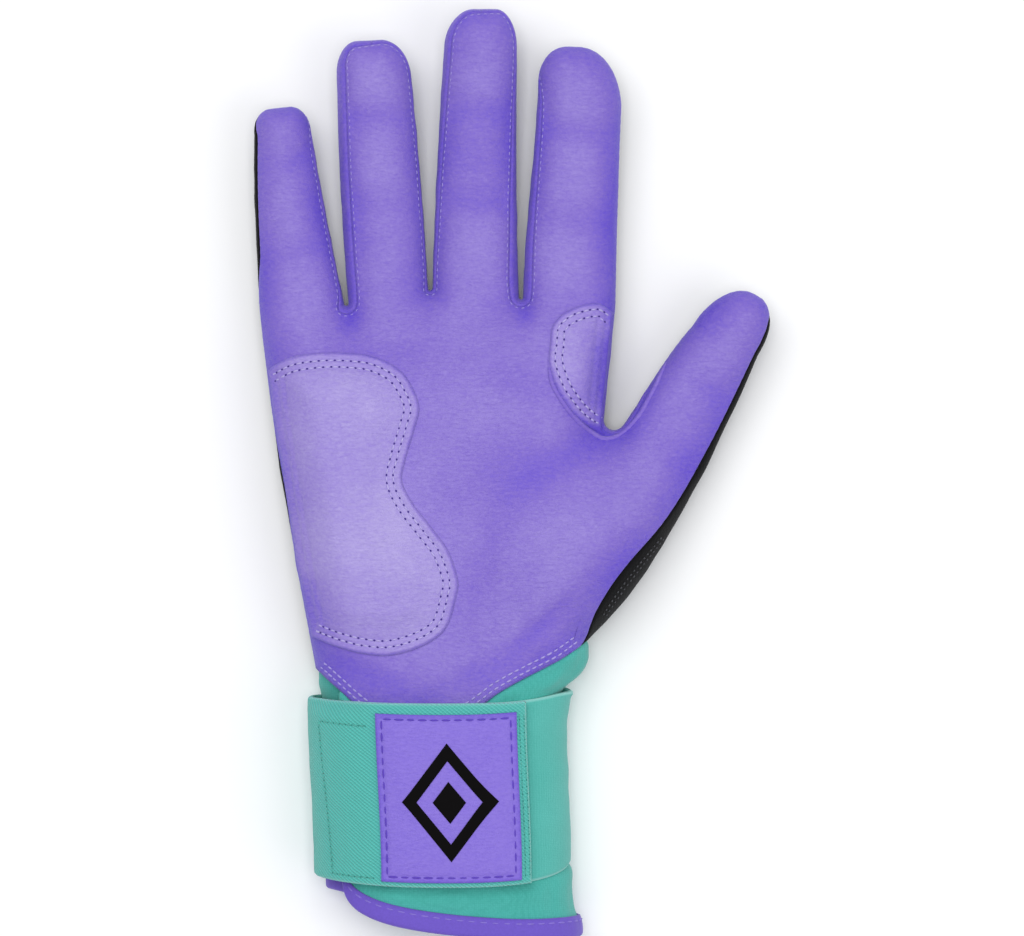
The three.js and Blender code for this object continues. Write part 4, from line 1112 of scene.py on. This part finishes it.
# Patches on the palm: outline from the foot at the seam round to the head at the seam
PATCH_EDGE = 1.05
PATCH_ENDS = (0.17, 0.83)
PATCH_LIFT = 0.12
HEEL_OUTLINE = [(-37.0, -39.6), (-30, -42.2), (-22.3, -44.2), (-14, -44.7), (-4.4, -41.8), (1.9, -36.8),
                (4.8, -28.1), (5.3, -22.6), (2.4, -14.2), (-2.5, -7.5), (-7.8, -0.6), (-10.7, 5.5),
                (-9.9, 11), (-7.3, 20), (-5.8, 26.1), (-7.3, 31.6), (-11.3, 37.4), (-18.3, 41.2),
                (-25.8, 42.4), (-34.5, 42.4), (-42.9, 41.2), (-49.6, 38.0)]
INDEX_OUTLINE = [(48.0, 19.0), (43.8, 20.8), (40.0, 23.6), (36.3, 28.0), (33.4, 33.0), (31.5, 39.4),
                 (31.9, 45.2), (32.5, 49.9), (35.7, 53.7), (41.2, 56.3), (46.2, 56.8), (50.6, 54.0)]


def padded_sheet(grid, rise, tone, thickness, flip):
    """A sheet on the palm panel from a grid of plan places, each with its rise, tone and thickness."""
    flat = grid.reshape(-1, 2)
    normals = form_normals(flat)
    top = form_points(flat, 1) + normals * palm_relief(flat)[:, None] + normals * rise[:, None]
    extras = np.column_stack([tone, thickness, normals]).reshape(*grid.shape[:2], 5)
    points, faces, values = weld([top.reshape(*grid.shape[:2], 3)], [flip], [extras])
    return thicken(points, faces, values, values[:, 1], values[:, 2:5])


def outline_patch(name, node, outline, side_y, side, relief_of, seat, rows, columns):
    """A patch bounded by a given line and the glove's side, with relief_of(distance to its edge)."""
    free = curve_through(outline, 4 * rows)
    side_line = np.array([side_point(y, side, seat) for y in np.linspace(*side_y, rows + 1)])
    share = np.linspace(0, 1, rows + 1)
    walk = np.linspace(0, 1, len(free))
    inner = places_at(mix(*PATCH_ENDS, share), walk, free)
    foot = places_at(np.linspace(0, PATCH_ENDS[0], columns + 1), walk, free)
    head = places_at(np.linspace(1, PATCH_ENDS[1], columns + 1), walk, free)
    side_line[0], side_line[-1] = foot[0], head[0]
    grid = fill_between(foot, head, side_line, inner)
    flat = grid.reshape(-1, 2)
    loop = np.concatenate([free, side_line[::-1][1:]])
    loop = curve_through(loop, 1200, True)
    away = distance_to_line(flat, loop, line_tree(loop))
    rise = PATCH_LIFT + LEATHER * quarter_round(away / PATCH_EDGE) + relief_of(flat, away)
    # Painted shade: the tone darkens in a thin band along the patch's edge.
    tone = tone_with_painted_shade(grid, 1, 0.3).reshape(-1, 1) + 0.1 - 0.35 * bell(away, 0.3, 0.7)[:, None]
    points, faces, values = padded_sheet(grid, rise, tone, rise - 0.08, side > 0)
    attach(make_mesh(name, points, faces, [patch_leather], values), "glove", node)
    return free


def side_point(y, side, inset):
    """Place on the silhouette's little-finger side (-1) or index side (+1) at a height, moved inward."""
    names = ("ulnar", "little.left_arc") if side < 0 else ("index.right", "web")
    edge = shape["edge"][start_of[names[0]]:start_of[names[1]]]
    order = np.argsort(edge[:, 1])
    return np.array([np.interp(y, edge[order, 1], edge[order, 0]) - side * inset, y])


HEEL_ROWS = (2.5, 4.4)
INDEX_ROWS = (1.9, 3.9)
GROOVE_WIDTH = 0.85


def heel_rise(xy, away):
    pad = 1.9 * smooth(away, HEEL_ROWS[1] - 0.6, HEEL_ROWS[1] + 9.0)
    between = hill(away, 0.15, sum(HEEL_ROWS) / 2, 0.7)
    lip = hill(away, 0.25, 1.2, 0.8)
    slack = 0.2 * wave_noise(xy, 9.0, 17.0) * smooth(away, 5, 9)
    return pad + between + lip + slack + sum(hill(away, -0.32, row, GROOVE_WIDTH) for row in HEEL_ROWS)


def index_rise(xy, away):
    lip = hill(away, 0.2, 1.2, 0.7)
    puff = 0.35 * smooth(away, INDEX_ROWS[1] + 0.3, INDEX_ROWS[1] + 4.0)
    return lip + puff + sum(hill(away, -0.35, row, GROOVE_WIDTH) for row in INDEX_ROWS)


heel_line = outline_patch(
    "heel_overlay", "heel_patch", HEEL_OUTLINE, (-39.6, 38.0), -1, heel_rise, 1.3, 190, 90)
index_line = outline_patch(
    "index_overlay", "index_patch", INDEX_OUTLINE, (19.6, 54.0), 1, index_rise, 1.1, 110, 44)


def offset_line(line, inset, hand):
    tangent = unit(np.gradient(line, axis=0))
    normal = np.column_stack([tangent[:, 1], -tangent[:, 0]]) * hand
    return line + normal * inset


def on_palm(line, rise):
    """Places over the palm panel along a plan line, and their normals."""
    normals = form_normals(line)
    return form_points(line, 1) + normals * (palm_relief(line) + rise)[:, None], normals


def patch_rows(line, hand, insets, rise_of, trim):
    """Rows inside a patch's edge, cut back at both ends by trim."""
    rows = []
    for inset in insets:
        moved = offset_line(line, inset, hand)[trim[0]:len(line) - trim[1]]
        away = np.full(len(moved), inset)
        rows.append(on_palm(moved, PATCH_LIFT + LEATHER + rise_of(moved, away)))
    return rows


for label, rows in (("heel_stitches", patch_rows(heel_line, -1, HEEL_ROWS, heel_rise, (4, 4))),
                    ("index_stitches", patch_rows(index_line, 1, INDEX_ROWS, index_rise, (24, 9)))):
    stitch_rows(label, rows, light_thread, width=0.56, hole_size=0.36)


def hem_rows():
    """Two rows along the palm's hem."""
    line = hem_point(front_hem, np.linspace(0.006, 0.965, 300))
    return [on_palm(offset_line(line, inset, -1), 0.02) for inset in (1.5, 3.1)]


def finger_seams():
    """One row in the palm leather just beside the side strips."""
    index = np.arange(start_of["little.right_arc"], start_of["index.left_arc"] + 1)
    xy, position, normal = over_side(index, front_seam[index] + 1.15)
    return [(position + normal * (palm_relief(xy) * 0.5 - 0.02)[:, None], normal)]


def thumb_rows():
    """Two rows in the thumb's back beside its seam."""
    index = np.arange(end_ray - 26, end_ray - 5)
    rows = []
    for drop in (3.2, 5.0):
        _, position, normal = over_side(index, front_seam[index] - drop)
        rows.append((position + normal * 0.25, normal))
    return rows


stitch_rows("hem_stitches", hem_rows(), hem_thread, pitch=2.1, length=1.55, width=0.56)
stitch_rows("thumb_stitches", thumb_rows(), black_thread, pitch=1.5, length=0.7,
            width=0.4)
stitch_rows("seam_stitches", finger_seams(), seam_thread, pitch=1.9, length=1.1, width=0.32)


# Rolled seam from the index patch round the thumb crotch
WELT_LINE = [(31.3, 40.5), (32.6, 33.6), (36.0, 27.6), (39.8, 23.0), (43.9, 19.9), (47.8, 18.0), (52.6, 19.5),
             (57.5, 24.3), (60.4, 29.0), (62.8, 33.6), (65.6, 40.0)]
WELT_RADIUS = 0.75
WELT_SINK = 0.1


def even_tone(grid):
    return np.full((*grid.shape[:2], 1), 0.5)


def welt_piece():
    line = curve_through(WELT_LINE, 220)
    centre, normals = on_palm(line, -WELT_SINK)
    tangent = unit(np.gradient(centre, axis=0))
    side = unit(np.cross(normals, tangent))
    fine = np.linspace(0, 1, len(line))
    radius = WELT_RADIUS * np.clip(np.sin(np.pi * np.clip(fine, 0.01, 0.99)) * 4, 0, 1) ** 0.5
    grid = np.stack([centre + (side * math.cos(angle) + normals * math.sin(angle)) * radius[:, None]
                     for angle in np.linspace(0, 2 * np.pi, 13)], 1)
    points, faces, values = weld([grid], [False], [even_tone(grid)])
    attach(make_mesh("web_welt", points, faces, [palm_leather], values), "glove")


welt_piece()


# Cuff: angle 0 is the little-finger side, 90 the palm side, 180 the thumb side, 270 the back
FLAP_ANGLE, UNDERLAP_ANGLE = 33.0, 54.0
UNDERLAP_DEPTH, UNDERLAP_DIP = 3.9, (345.0, 389.0)
FLAP_ACROSS, FLAP_ALONG = 64.0, 15.0
MOUTH_RISE = 13.8
BINDING_HALF = 0.75

# Swellings of the cuff: height, then middle and half width from the strap's edge or round the cuff
ABOVE_SWELL = (0.9, 4.0, 3.4)
BELOW_SWELL = (0.7, 3.6, 2.8)
THUMB_SWELL = (1.3, 180.0, 30.0)

# Strap: its band round the wrist, and how far the outer face of each layer is over the cuff's form
STRAP_WIDTH, STRAP_Y, STRAP_RISE, THUMB_RISE = 51.0, -85.6, 3.4, 6.0
STRAP_CROWN = 1.7
STRAP_HALF = STATIONS[1][2]
BAND_OFF, LOOP_OFF, HOOK_OFF, TAB_OFF, PATCH_OFF = 1.55, 2.6, 3.75, 5.3, 6.65


def cuff_share(degrees):
    """Place across the cuff, from 0 at its left side to 1 at its right."""
    return (1 - np.cos(np.radians(degrees))) / 2


def cuff_points(degrees, y, offset):
    """Points over the cuff form, and their normals."""
    degrees, y = np.broadcast_arrays(np.asarray(degrees, float), np.asarray(y, float))
    flat, level = degrees.ravel(), y.ravel()

    def surface(angle, height):
        left, right = cuff_section(height)
        xy = np.column_stack([mix(left, right, cuff_share(angle)), height])
        back_side = np.sin(np.radians(angle)) < 0
        points = np.empty((len(xy), 3))
        for rows, side in ((back_side, -1), (~back_side, 1)):
            if rows.any():
                points[rows] = form_points(xy[rows], side)
        return points

    probe, stretch = 4.0, 1.2
    turn = surface(flat + probe, level) - surface(flat - probe, level)
    up = surface(flat, level + stretch) - surface(flat, level - stretch)
    normal = unit(np.cross(turn, up))
    points = surface(flat, level) + normal * np.broadcast_to(offset, degrees.shape).ravel()[:, None]
    return points.reshape(*degrees.shape, 3), normal.reshape(*degrees.shape, 3)


def is_front(degrees):
    return np.mod(degrees, 360) <= 180


def cuff_top(degrees):
    share = cuff_share(degrees)
    return np.where(is_front(degrees), front_hem(share), back_hem(share))


def cuff_bottom(degrees):
    share = cuff_share(degrees)
    run_share = np.clip(np.radians(degrees - FLAP_ANGLE) * STRAP_HALF / FLAP_ACROSS, 0, 1)
    flap = MOUTH_Y + FLAP_ALONG * (1 - quarter_round(run_share))
    return np.where(degrees > 180, MOUTH_Y + MOUTH_RISE * (1 - share), flap)


def cuff_depth(degrees):
    return -UNDERLAP_DEPTH * smooth(degrees, *UNDERLAP_DIP)


def strap_centre(degrees):
    turn = np.mod(degrees, 360)
    rise = mix(STRAP_RISE, THUMB_RISE, smooth(turn, 90, 180) * (1 - smooth(turn, 190, 320)))
    return STRAP_Y + rise * np.where(is_front(degrees), 1 - np.sin(np.radians(degrees)), 1)


def strap_top(degrees):
    crown = np.maximum(np.sin(np.radians(degrees)), 0)
    return strap_centre(degrees) + STRAP_WIDTH / 2 + STRAP_CROWN * crown


def cuff_waves(degrees, y, scale, seed, stretch=(1.0, 1.0)):
    """Waves over the cuff rolled out flat."""
    plan = np.column_stack([np.radians(degrees).ravel() * STRAP_HALF, y.ravel()])
    return wave_noise(plan, scale, seed, stretch).reshape(y.shape)


def cuff_piece():
    """The cuff's tube: held flat under the strap, swollen above and below it, tucked under the palm's hem."""
    columns, rows = 300, 90
    degrees = np.linspace(FLAP_ANGLE + 0.9, 360 + UNDERLAP_ANGLE, columns + 1)[:, None]
    low, hem = cuff_bottom(degrees), cuff_top(degrees)
    high = hem + 4.0 * (np.sin(np.radians(degrees)) ** 2 + 0.01) ** 0.25 - 1.5 * bell(degrees, 180, 13.0)
    y = mix(low, high, np.linspace(0, 1, rows + 1)[None, :])
    degrees = degrees + 0 * y
    above = y - strap_top(degrees)
    below = (strap_centre(degrees) - STRAP_WIDTH / 2) - y
    under = -0.25 * smooth(-above, 0, 2) * smooth(-below, 0, 2)
    tuck = -(LEATHER + 0.5) * smooth(y, hem - 1.6, hem + 1.2)
    swell = hill(above, *ABOVE_SWELL) * smooth(hem - y, 0.0, 6.0) + hill(below, *BELOW_SWELL)
    swell = swell + hill(degrees, *THUMB_SWELL) * smooth(below, -1, 2) * (1 - smooth(below, 6, 14))
    waves = 0.5 * cuff_waves(degrees, y, 11.0, 51.0, (1.3, 0.8)) + 0.22 * cuff_waves(degrees, y, 5.0, 53.0)
    free = smooth(np.maximum(above, below), 0.0, 3.0)
    above_binding = smooth(y - low, 3.0, 8.0)
    offset = cuff_depth(degrees) + under + tuck + (swell + waves * free) * above_binding
    skin, normals = cuff_points(degrees, y, offset)
    turning = bell(degrees[1:-1, :1], 180, 6.0)[..., None]
    for _ in range(8):
        skin[1:-1] = mix(skin[1:-1], (skin[:-2] + skin[2:]) / 2, turning)
    # Painted shade in the folds at the strap's edges; the neoprene material does not read the tone.
    fold = bell(np.maximum(above, 0), 0, 1.8) * (above > -1)
    fold = fold + bell(np.maximum(below, 0), 0, 1.5) * (below > -1)
    tone = np.clip(0.5 - 0.4 * fold, 0, 1)[..., None]
    points, faces, values = weld([skin], [True], [np.concatenate([tone, normals], -1)])
    points, faces, values = thicken(points, faces, values[:, :1], NEOPRENE, values[:, 1:])
    attach(make_mesh("cuff_sleeve", points, faces, [neoprene], values), "glove", "cuff")


cuff_piece()


def binding_piece():
    """Tape folded round the cuff's lower edge, a rounded channel swept along it."""
    columns = 300
    degrees = np.linspace(FLAP_ANGLE - 0.4, 360 + UNDERLAP_ANGLE + 0.4, columns + 1)
    edge = cuff_bottom(np.clip(degrees, FLAP_ANGLE, None))
    depth = cuff_depth(degrees)
    outer, inner = BINDING_HALF, -NEOPRENE - BINDING_HALF
    middle, half = (outer + inner) / 2, (outer - inner) / 2
    flank = ((5.4, 0.5), (5.2, 0.0), (4.0, 0.0), (2.6, 0.0), (1.2, 0.0), (0.3, 0.0))
    profile = [(outer - tip + 0.18 * math.sin(math.pi * rise / 5.4), rise) for rise, tip in flank]
    for angle in np.radians(np.linspace(15, 165, 7)):
        profile.append((middle + half * math.cos(angle), 0.2 - 1.1 * math.sin(angle)))
    profile += [(inner + tip, rise) for rise, tip in flank[::-1]]
    walk = np.radians(degrees) * STRAP_HALF
    ripple = 0.16 * wave_noise(np.column_stack([walk, walk * 0]), 4.0, 61.0)
    grid = np.stack([cuff_points(degrees, edge + rise, depth + offset + ripple)[0]
                     for offset, rise in profile], 1)
    sewn_sheet("cuff_edging", "cuff_binding", "glove", binding_tape, [grid], [False],
               [even_tone(grid)], TAPE)
    row = cuff_points(degrees[3:-3], edge[3:-3] + 3.9, (depth + outer + ripple)[3:-3] + 0.05)
    stitch_rows("edging_stitches", [row], violet_thread, pitch=3.4, length=2.3,
                width=0.5)


binding_piece()


# Strap layers
def layer(name, node, body, slot_name, material, degrees, rows, offset_at, thickness, low=None, high=None,
          edge=0.5, tones=(0.0, 1.0, 0.7)):
    """A layer between two angles, from its low to its high edge; tones: inside, at the rim, rim's width. The
    rim's tone is painted light or shade on the turned edge, where the material reads it.
    """
    low = strap_centre(degrees) - STRAP_WIDTH / 2 if low is None else low
    high = strap_top(degrees) if high is None else high
    low, high = low[:, None], high[:, None]
    y = mix(low, high, np.linspace(0, 1, rows + 1)[None])
    degrees = degrees[:, None] + 0 * y
    around = np.radians(degrees) * STRAP_HALF
    away = np.minimum(np.minimum(y - low, high - y), np.minimum(around - around[0], around[-1] - around))
    turned = edge * (1 - quarter_round(away / (2 * edge)))
    points, normals = cuff_points(degrees, y, offset_at(degrees, y, away) - turned)
    # Painted highlight or shade along the turned rim.
    tone = mix(tones[1], tones[0], smooth(away, 0.15, tones[2]))
    extras = np.concatenate([np.stack([tone, around, y], -1), normals], -1)
    points, faces, values = weld([points], [True], [extras])
    points, faces, values = thicken(points, faces, values, thickness, values[:, 3:6])
    attach(make_mesh(name, points, faces, [material], values, uv=values[:, 1:3]), body, node)


def angle_at(x, y=STRAP_Y):
    left, right = cuff_section(y)
    return np.degrees(np.arccos(1 - 2 * (x - left) / (right - left)))


ROOT_ANGLE, RAMP_ANGLE = -14.0, 22.0
TAB_END = float(angle_at(24.0))
FASTENER_INSET = 3.5


def band_offset(degrees, y, away):
    waves = 0.3 * cuff_waves(degrees, y, 10.0, 71.0, (0.6, 1.6))
    top = strap_top(degrees)
    flare = hill(degrees, 1.8, 180, 24.0) * smooth(y, top - 12, top)
    return BAND_OFF + waves * smooth(away, 0, 4) + flare - 0.1


def tab_offset(degrees, y, away):
    waves = 0.3 * cuff_waves(degrees, y, 14.0, 81.0) + 0.12 * cuff_waves(degrees, y, 5.0, 83.0)
    lift = mix(BAND_OFF, TAB_OFF, smooth(degrees, ROOT_ANGLE, RAMP_ANGLE))
    upper_rim = (1 - smooth(away, 0, 5)) * (y > STRAP_Y)
    closed = 2.2 * upper_rim * smooth(degrees, 6, 24) * (1 - smooth(degrees, 38, 58))
    return lift + waves * smooth(away, 0, 4) - 0.12 - closed


band_degrees = np.linspace(38.0, 360 + ROOT_ANGLE - 0.3, 260)
layer("wrist_wrap", "wrist_band", "glove", "band_fabric", band_cloth, band_degrees, 60, band_offset, WEBBING)
tab_degrees = np.linspace(ROOT_ANGLE, TAB_END, 170)
layer("strap", "strap_tab", "strap", "strap_fabric", strap_twill, tab_degrees, 90, tab_offset, WEBBING)

fastener_degrees = np.linspace(42.0, TAB_END - 0.8, 80)
fastener_low = strap_centre(fastener_degrees) - STRAP_WIDTH / 2 + FASTENER_INSET
fastener_high = fastener_low + STRAP_WIDTH - 2 * FASTENER_INSET
for name, node, body, off in (("loop_pile", "loop_panel", "glove", LOOP_OFF),
                              ("hook_pile", "hook_panel", "strap", HOOK_OFF)):
    layer(name, node, body, "fastener", black_hook, fastener_degrees, 40,
          lambda degrees, y, away: off - 0.05 + 0 * y, PILE, fastener_low, fastener_high, 0.2)

PATCH_LEFT, PATCH_RIGHT, PATCH_HEIGHT = -16.2, 21.4, 48.2
patch_degrees = np.linspace(float(angle_at(PATCH_LEFT)), float(angle_at(PATCH_RIGHT)), 90)
patch_low = strap_centre(patch_degrees) - PATCH_HEIGHT / 2
patch_high = patch_low + PATCH_HEIGHT
BORDER_INSET = 1.5


def patch_offset(degrees, y, away):
    waves = 0.14 * cuff_waves(degrees, y, 9.0, 91.0)
    pinch = hill(away, -0.4, BORDER_INSET, 0.7)
    puff = 0.25 * smooth(away, 2.0, 6.0)
    return PATCH_OFF - 0.35 + pinch + puff + waves * smooth(away, 1, 5)


# The patch's rim tone is low: painted shade along its turned edge.
layer("emblem_patch", "strap_patch", "strap", "strap_leather", strap_leather, patch_degrees, 110,
      patch_offset, PATCH, patch_low, patch_high, 0.45, (0.5, 0.12, 1.9))


def strap_places(x, y):
    """Angle and height on the tilted strap for a place given as if it lay level."""
    degrees = angle_at(x)
    return degrees, y + strap_centre(degrees) - STRAP_Y


def strap_row(start, end, offset):
    """A straight row over the strap between two places (x, y), with its normals."""
    line = mix(np.array(start), np.array(end), np.linspace(0, 1, 61)[:, None])
    return cuff_points(*strap_places(line[:, 0], line[:, 1]), offset)


half_patch = PATCH_HEIGHT / 2 - BORDER_INSET
left, right = PATCH_LEFT + BORDER_INSET, PATCH_RIGHT - BORDER_INSET
bottom, top = STRAP_Y - half_patch, STRAP_Y + half_patch
patch_loop = [(left, bottom), (left, top), (right, top), (right, bottom), (left, bottom)]
patch_border = [strap_row(a, b, PATCH_OFF - 0.68) for a, b in zip(patch_loop, patch_loop[1:])]
stitch_rows("patch_stitches", patch_border, deep_thread, body="strap", pitch=3.3,
            length=2.4, width=0.5)
TOP_ROW, BOTTOM_ROW = STRAP_Y + STRAP_WIDTH / 2 - 5.2, STRAP_Y - STRAP_WIDTH / 2 + 2.2
box_rows = [strap_row(start, end, TAB_OFF - sink) for start, end, sink in (
    ((-30.0, TOP_ROW), (-28.2, BOTTOM_ROW), 0.1), ((-30.0, TOP_ROW), (-18.8, TOP_ROW), 0.1),
    ((-28.2, BOTTOM_ROW), (-18.2, BOTTOM_ROW), 0.1), ((22.2, TOP_ROW + 3.4), (22.4, BOTTOM_ROW + 0.4), 0.15),
    ((23.3, TOP_ROW + 3.4), (23.5, BOTTOM_ROW + 0.4), 0.2))]
stitch_rows("strap_stitches", box_rows, teal_thread, painted_teal_hole_shade, "strap", pitch=1.9,
            length=1.2, width=0.4, hole_size=0.27)


# A plain figure on the patch: a diamond outline round a small diamond
def figure_piece():
    centre = np.array([(PATCH_LEFT + PATCH_RIGHT) / 2 + 0.3, STRAP_Y - 1.0])
    wide, tall, bar = 13.4, 17.0, 4.0
    corners = [np.array(corner) for corner in ((0, tall), (wide, 0), (0, -tall), (-wide, 0))]
    inward = np.linspace(1, (wide - bar) / wide, 7)[None, :, None]
    grids = [mix(a, b, np.linspace(0, 1, 34)[:, None, None]) * inward
             for a, b in zip(corners, corners[1:] + corners[:1])]
    u = np.linspace(-1, 1, 14)
    core_x, core_y = np.meshgrid(u, u, indexing="ij")
    grids.append(np.stack([(core_x + core_y) * 2.4, (core_x - core_y) * 3.0], -1))
    lifted, flips = [], []
    for grid in grids:
        xy = grid.reshape(-1, 2) + centre
        degrees, y = strap_places(xy[:, 0], xy[:, 1])
        under = patch_offset(degrees[:, None], y[:, None], np.full((len(y), 1), 9.0))[:, 0]
        points = cuff_points(degrees, y, under + 0.22)[0].reshape(*grid.shape[:2], 3)
        lifted.append(points)
        flips.append(bool(np.cross(points[0, 1] - points[0, 0], points[1, 0] - points[0, 0])[2] < 0))
    tones = [even_tone(grid) for grid in lifted]
    sewn_sheet("patch_figure", None, "strap", black_ink, lifted, flips, tones, INK)


figure_piece()


# Foam under the heel patch
PAD_OUTLINE = [(-30, -31), (-20, -36), (-6, -33), (-4, -22), (-13, -8), (-18, 6), (-15, 22), (-19, 32),
               (-30, 33), (-38, 28), (-36, 0)]


def pad_piece():
    rim = curve_through(PAD_OUTLINE, 140, True)
    spine = np.array([(-26.0 + 4 * math.sin(t), 30 - 58 * t / math.pi) for t in np.linspace(0, math.pi, 50)])
    tree = line_tree(spine)
    middle = np.array([spine[tree.find((x, y, 0))[1]] for x, y in rim])
    shares = np.linspace(0, 1, 9)
    grid = np.stack([mix(rim, middle, share) for share in shares], 1)
    rise = 0.3 + 0.9 * smooth(np.tile(shares, len(rim)), 0, 0.4)
    points, faces, _ = padded_sheet(grid, rise, 0 * rise, rise - 0.1, False)
    piece = make_mesh("heel_foam", points, faces, [pad_foam])
    attach(piece, "glove", "heel_pad")


pad_piece()


# Floor, light and camera
def floor_piece():
    size, level = 3000.0, -0.4
    points = [(x * size, y * size, level) for x, y in ((-1, -1), (1, -1), (1, 1), (-1, 1))]
    paper = plain("floor_paper", "FFFFFF", 0.9, 8.0, 0.0, 0, 0.0)
    make_mesh("floor", points, [(0, 1, 2, 3)], [paper])


floor_piece()


def area_light(name, place_mm, aim_mm, size_mm, power):
    data = bpy.data.lights.new(name, "AREA")
    data.shape = "RECTANGLE"
    data.size, data.size_y = (s * MM for s in size_mm)
    data.energy = power
    lamp = bpy.data.objects.new(name, data)
    bpy.context.scene.collection.objects.link(lamp)
    lamp.location = [c * MM for c in place_mm]
    direction = Vector(aim_mm) - Vector(place_mm)
    lamp.rotation_euler = direction.to_track_quat("-Z", "Y").to_euler()


area_light("key", (-250, 500, 1200), (10, 10, 0), (900, 700), 5.8)
area_light("top", (0, 40, 1500), (0, 0, 0), (500, 500), 5.8)
area_light("fill", (700, -300, 900), (10, 0, 0), (800, 800), 2.5)

world = bpy.data.worlds.new("studio")
bpy.context.scene.world = world
world.use_nodes = True
backdrop = world.node_tree.nodes["Background"]
backdrop.inputs["Color"].default_value = (0.93, 0.95, 1.0, 1.0)
backdrop.inputs["Strength"].default_value = 0.48
bpy.context.scene.view_settings.view_transform = "Standard"

# The photograph's frame: 1024 by 936, with this many millimetres to a pixel on the palm
PHOTO_WIDTH, PHOTO_HEIGHT, PIXEL = 1024, 936, 0.29
ORIGIN_U, ORIGIN_V = 440, 500
FOCUS_HEIGHT = 18.0
LENS, SENSOR = 180.0, 36.0

camera_data = bpy.data.cameras.new("camera")
camera_data.lens = LENS
camera_data.sensor_width = SENSOR
camera_data.clip_end = 20.0
camera = bpy.data.objects.new("camera", camera_data)
bpy.context.scene.collection.objects.link(camera)
distance = LENS / SENSOR * PHOTO_WIDTH * PIXEL
camera.location = ((PHOTO_WIDTH / 2 - ORIGIN_U) * PIXEL * MM, (ORIGIN_V - PHOTO_HEIGHT / 2) * PIXEL * MM,
                   (distance + FOCUS_HEIGHT) * MM)
bpy.context.scene.camera = camera
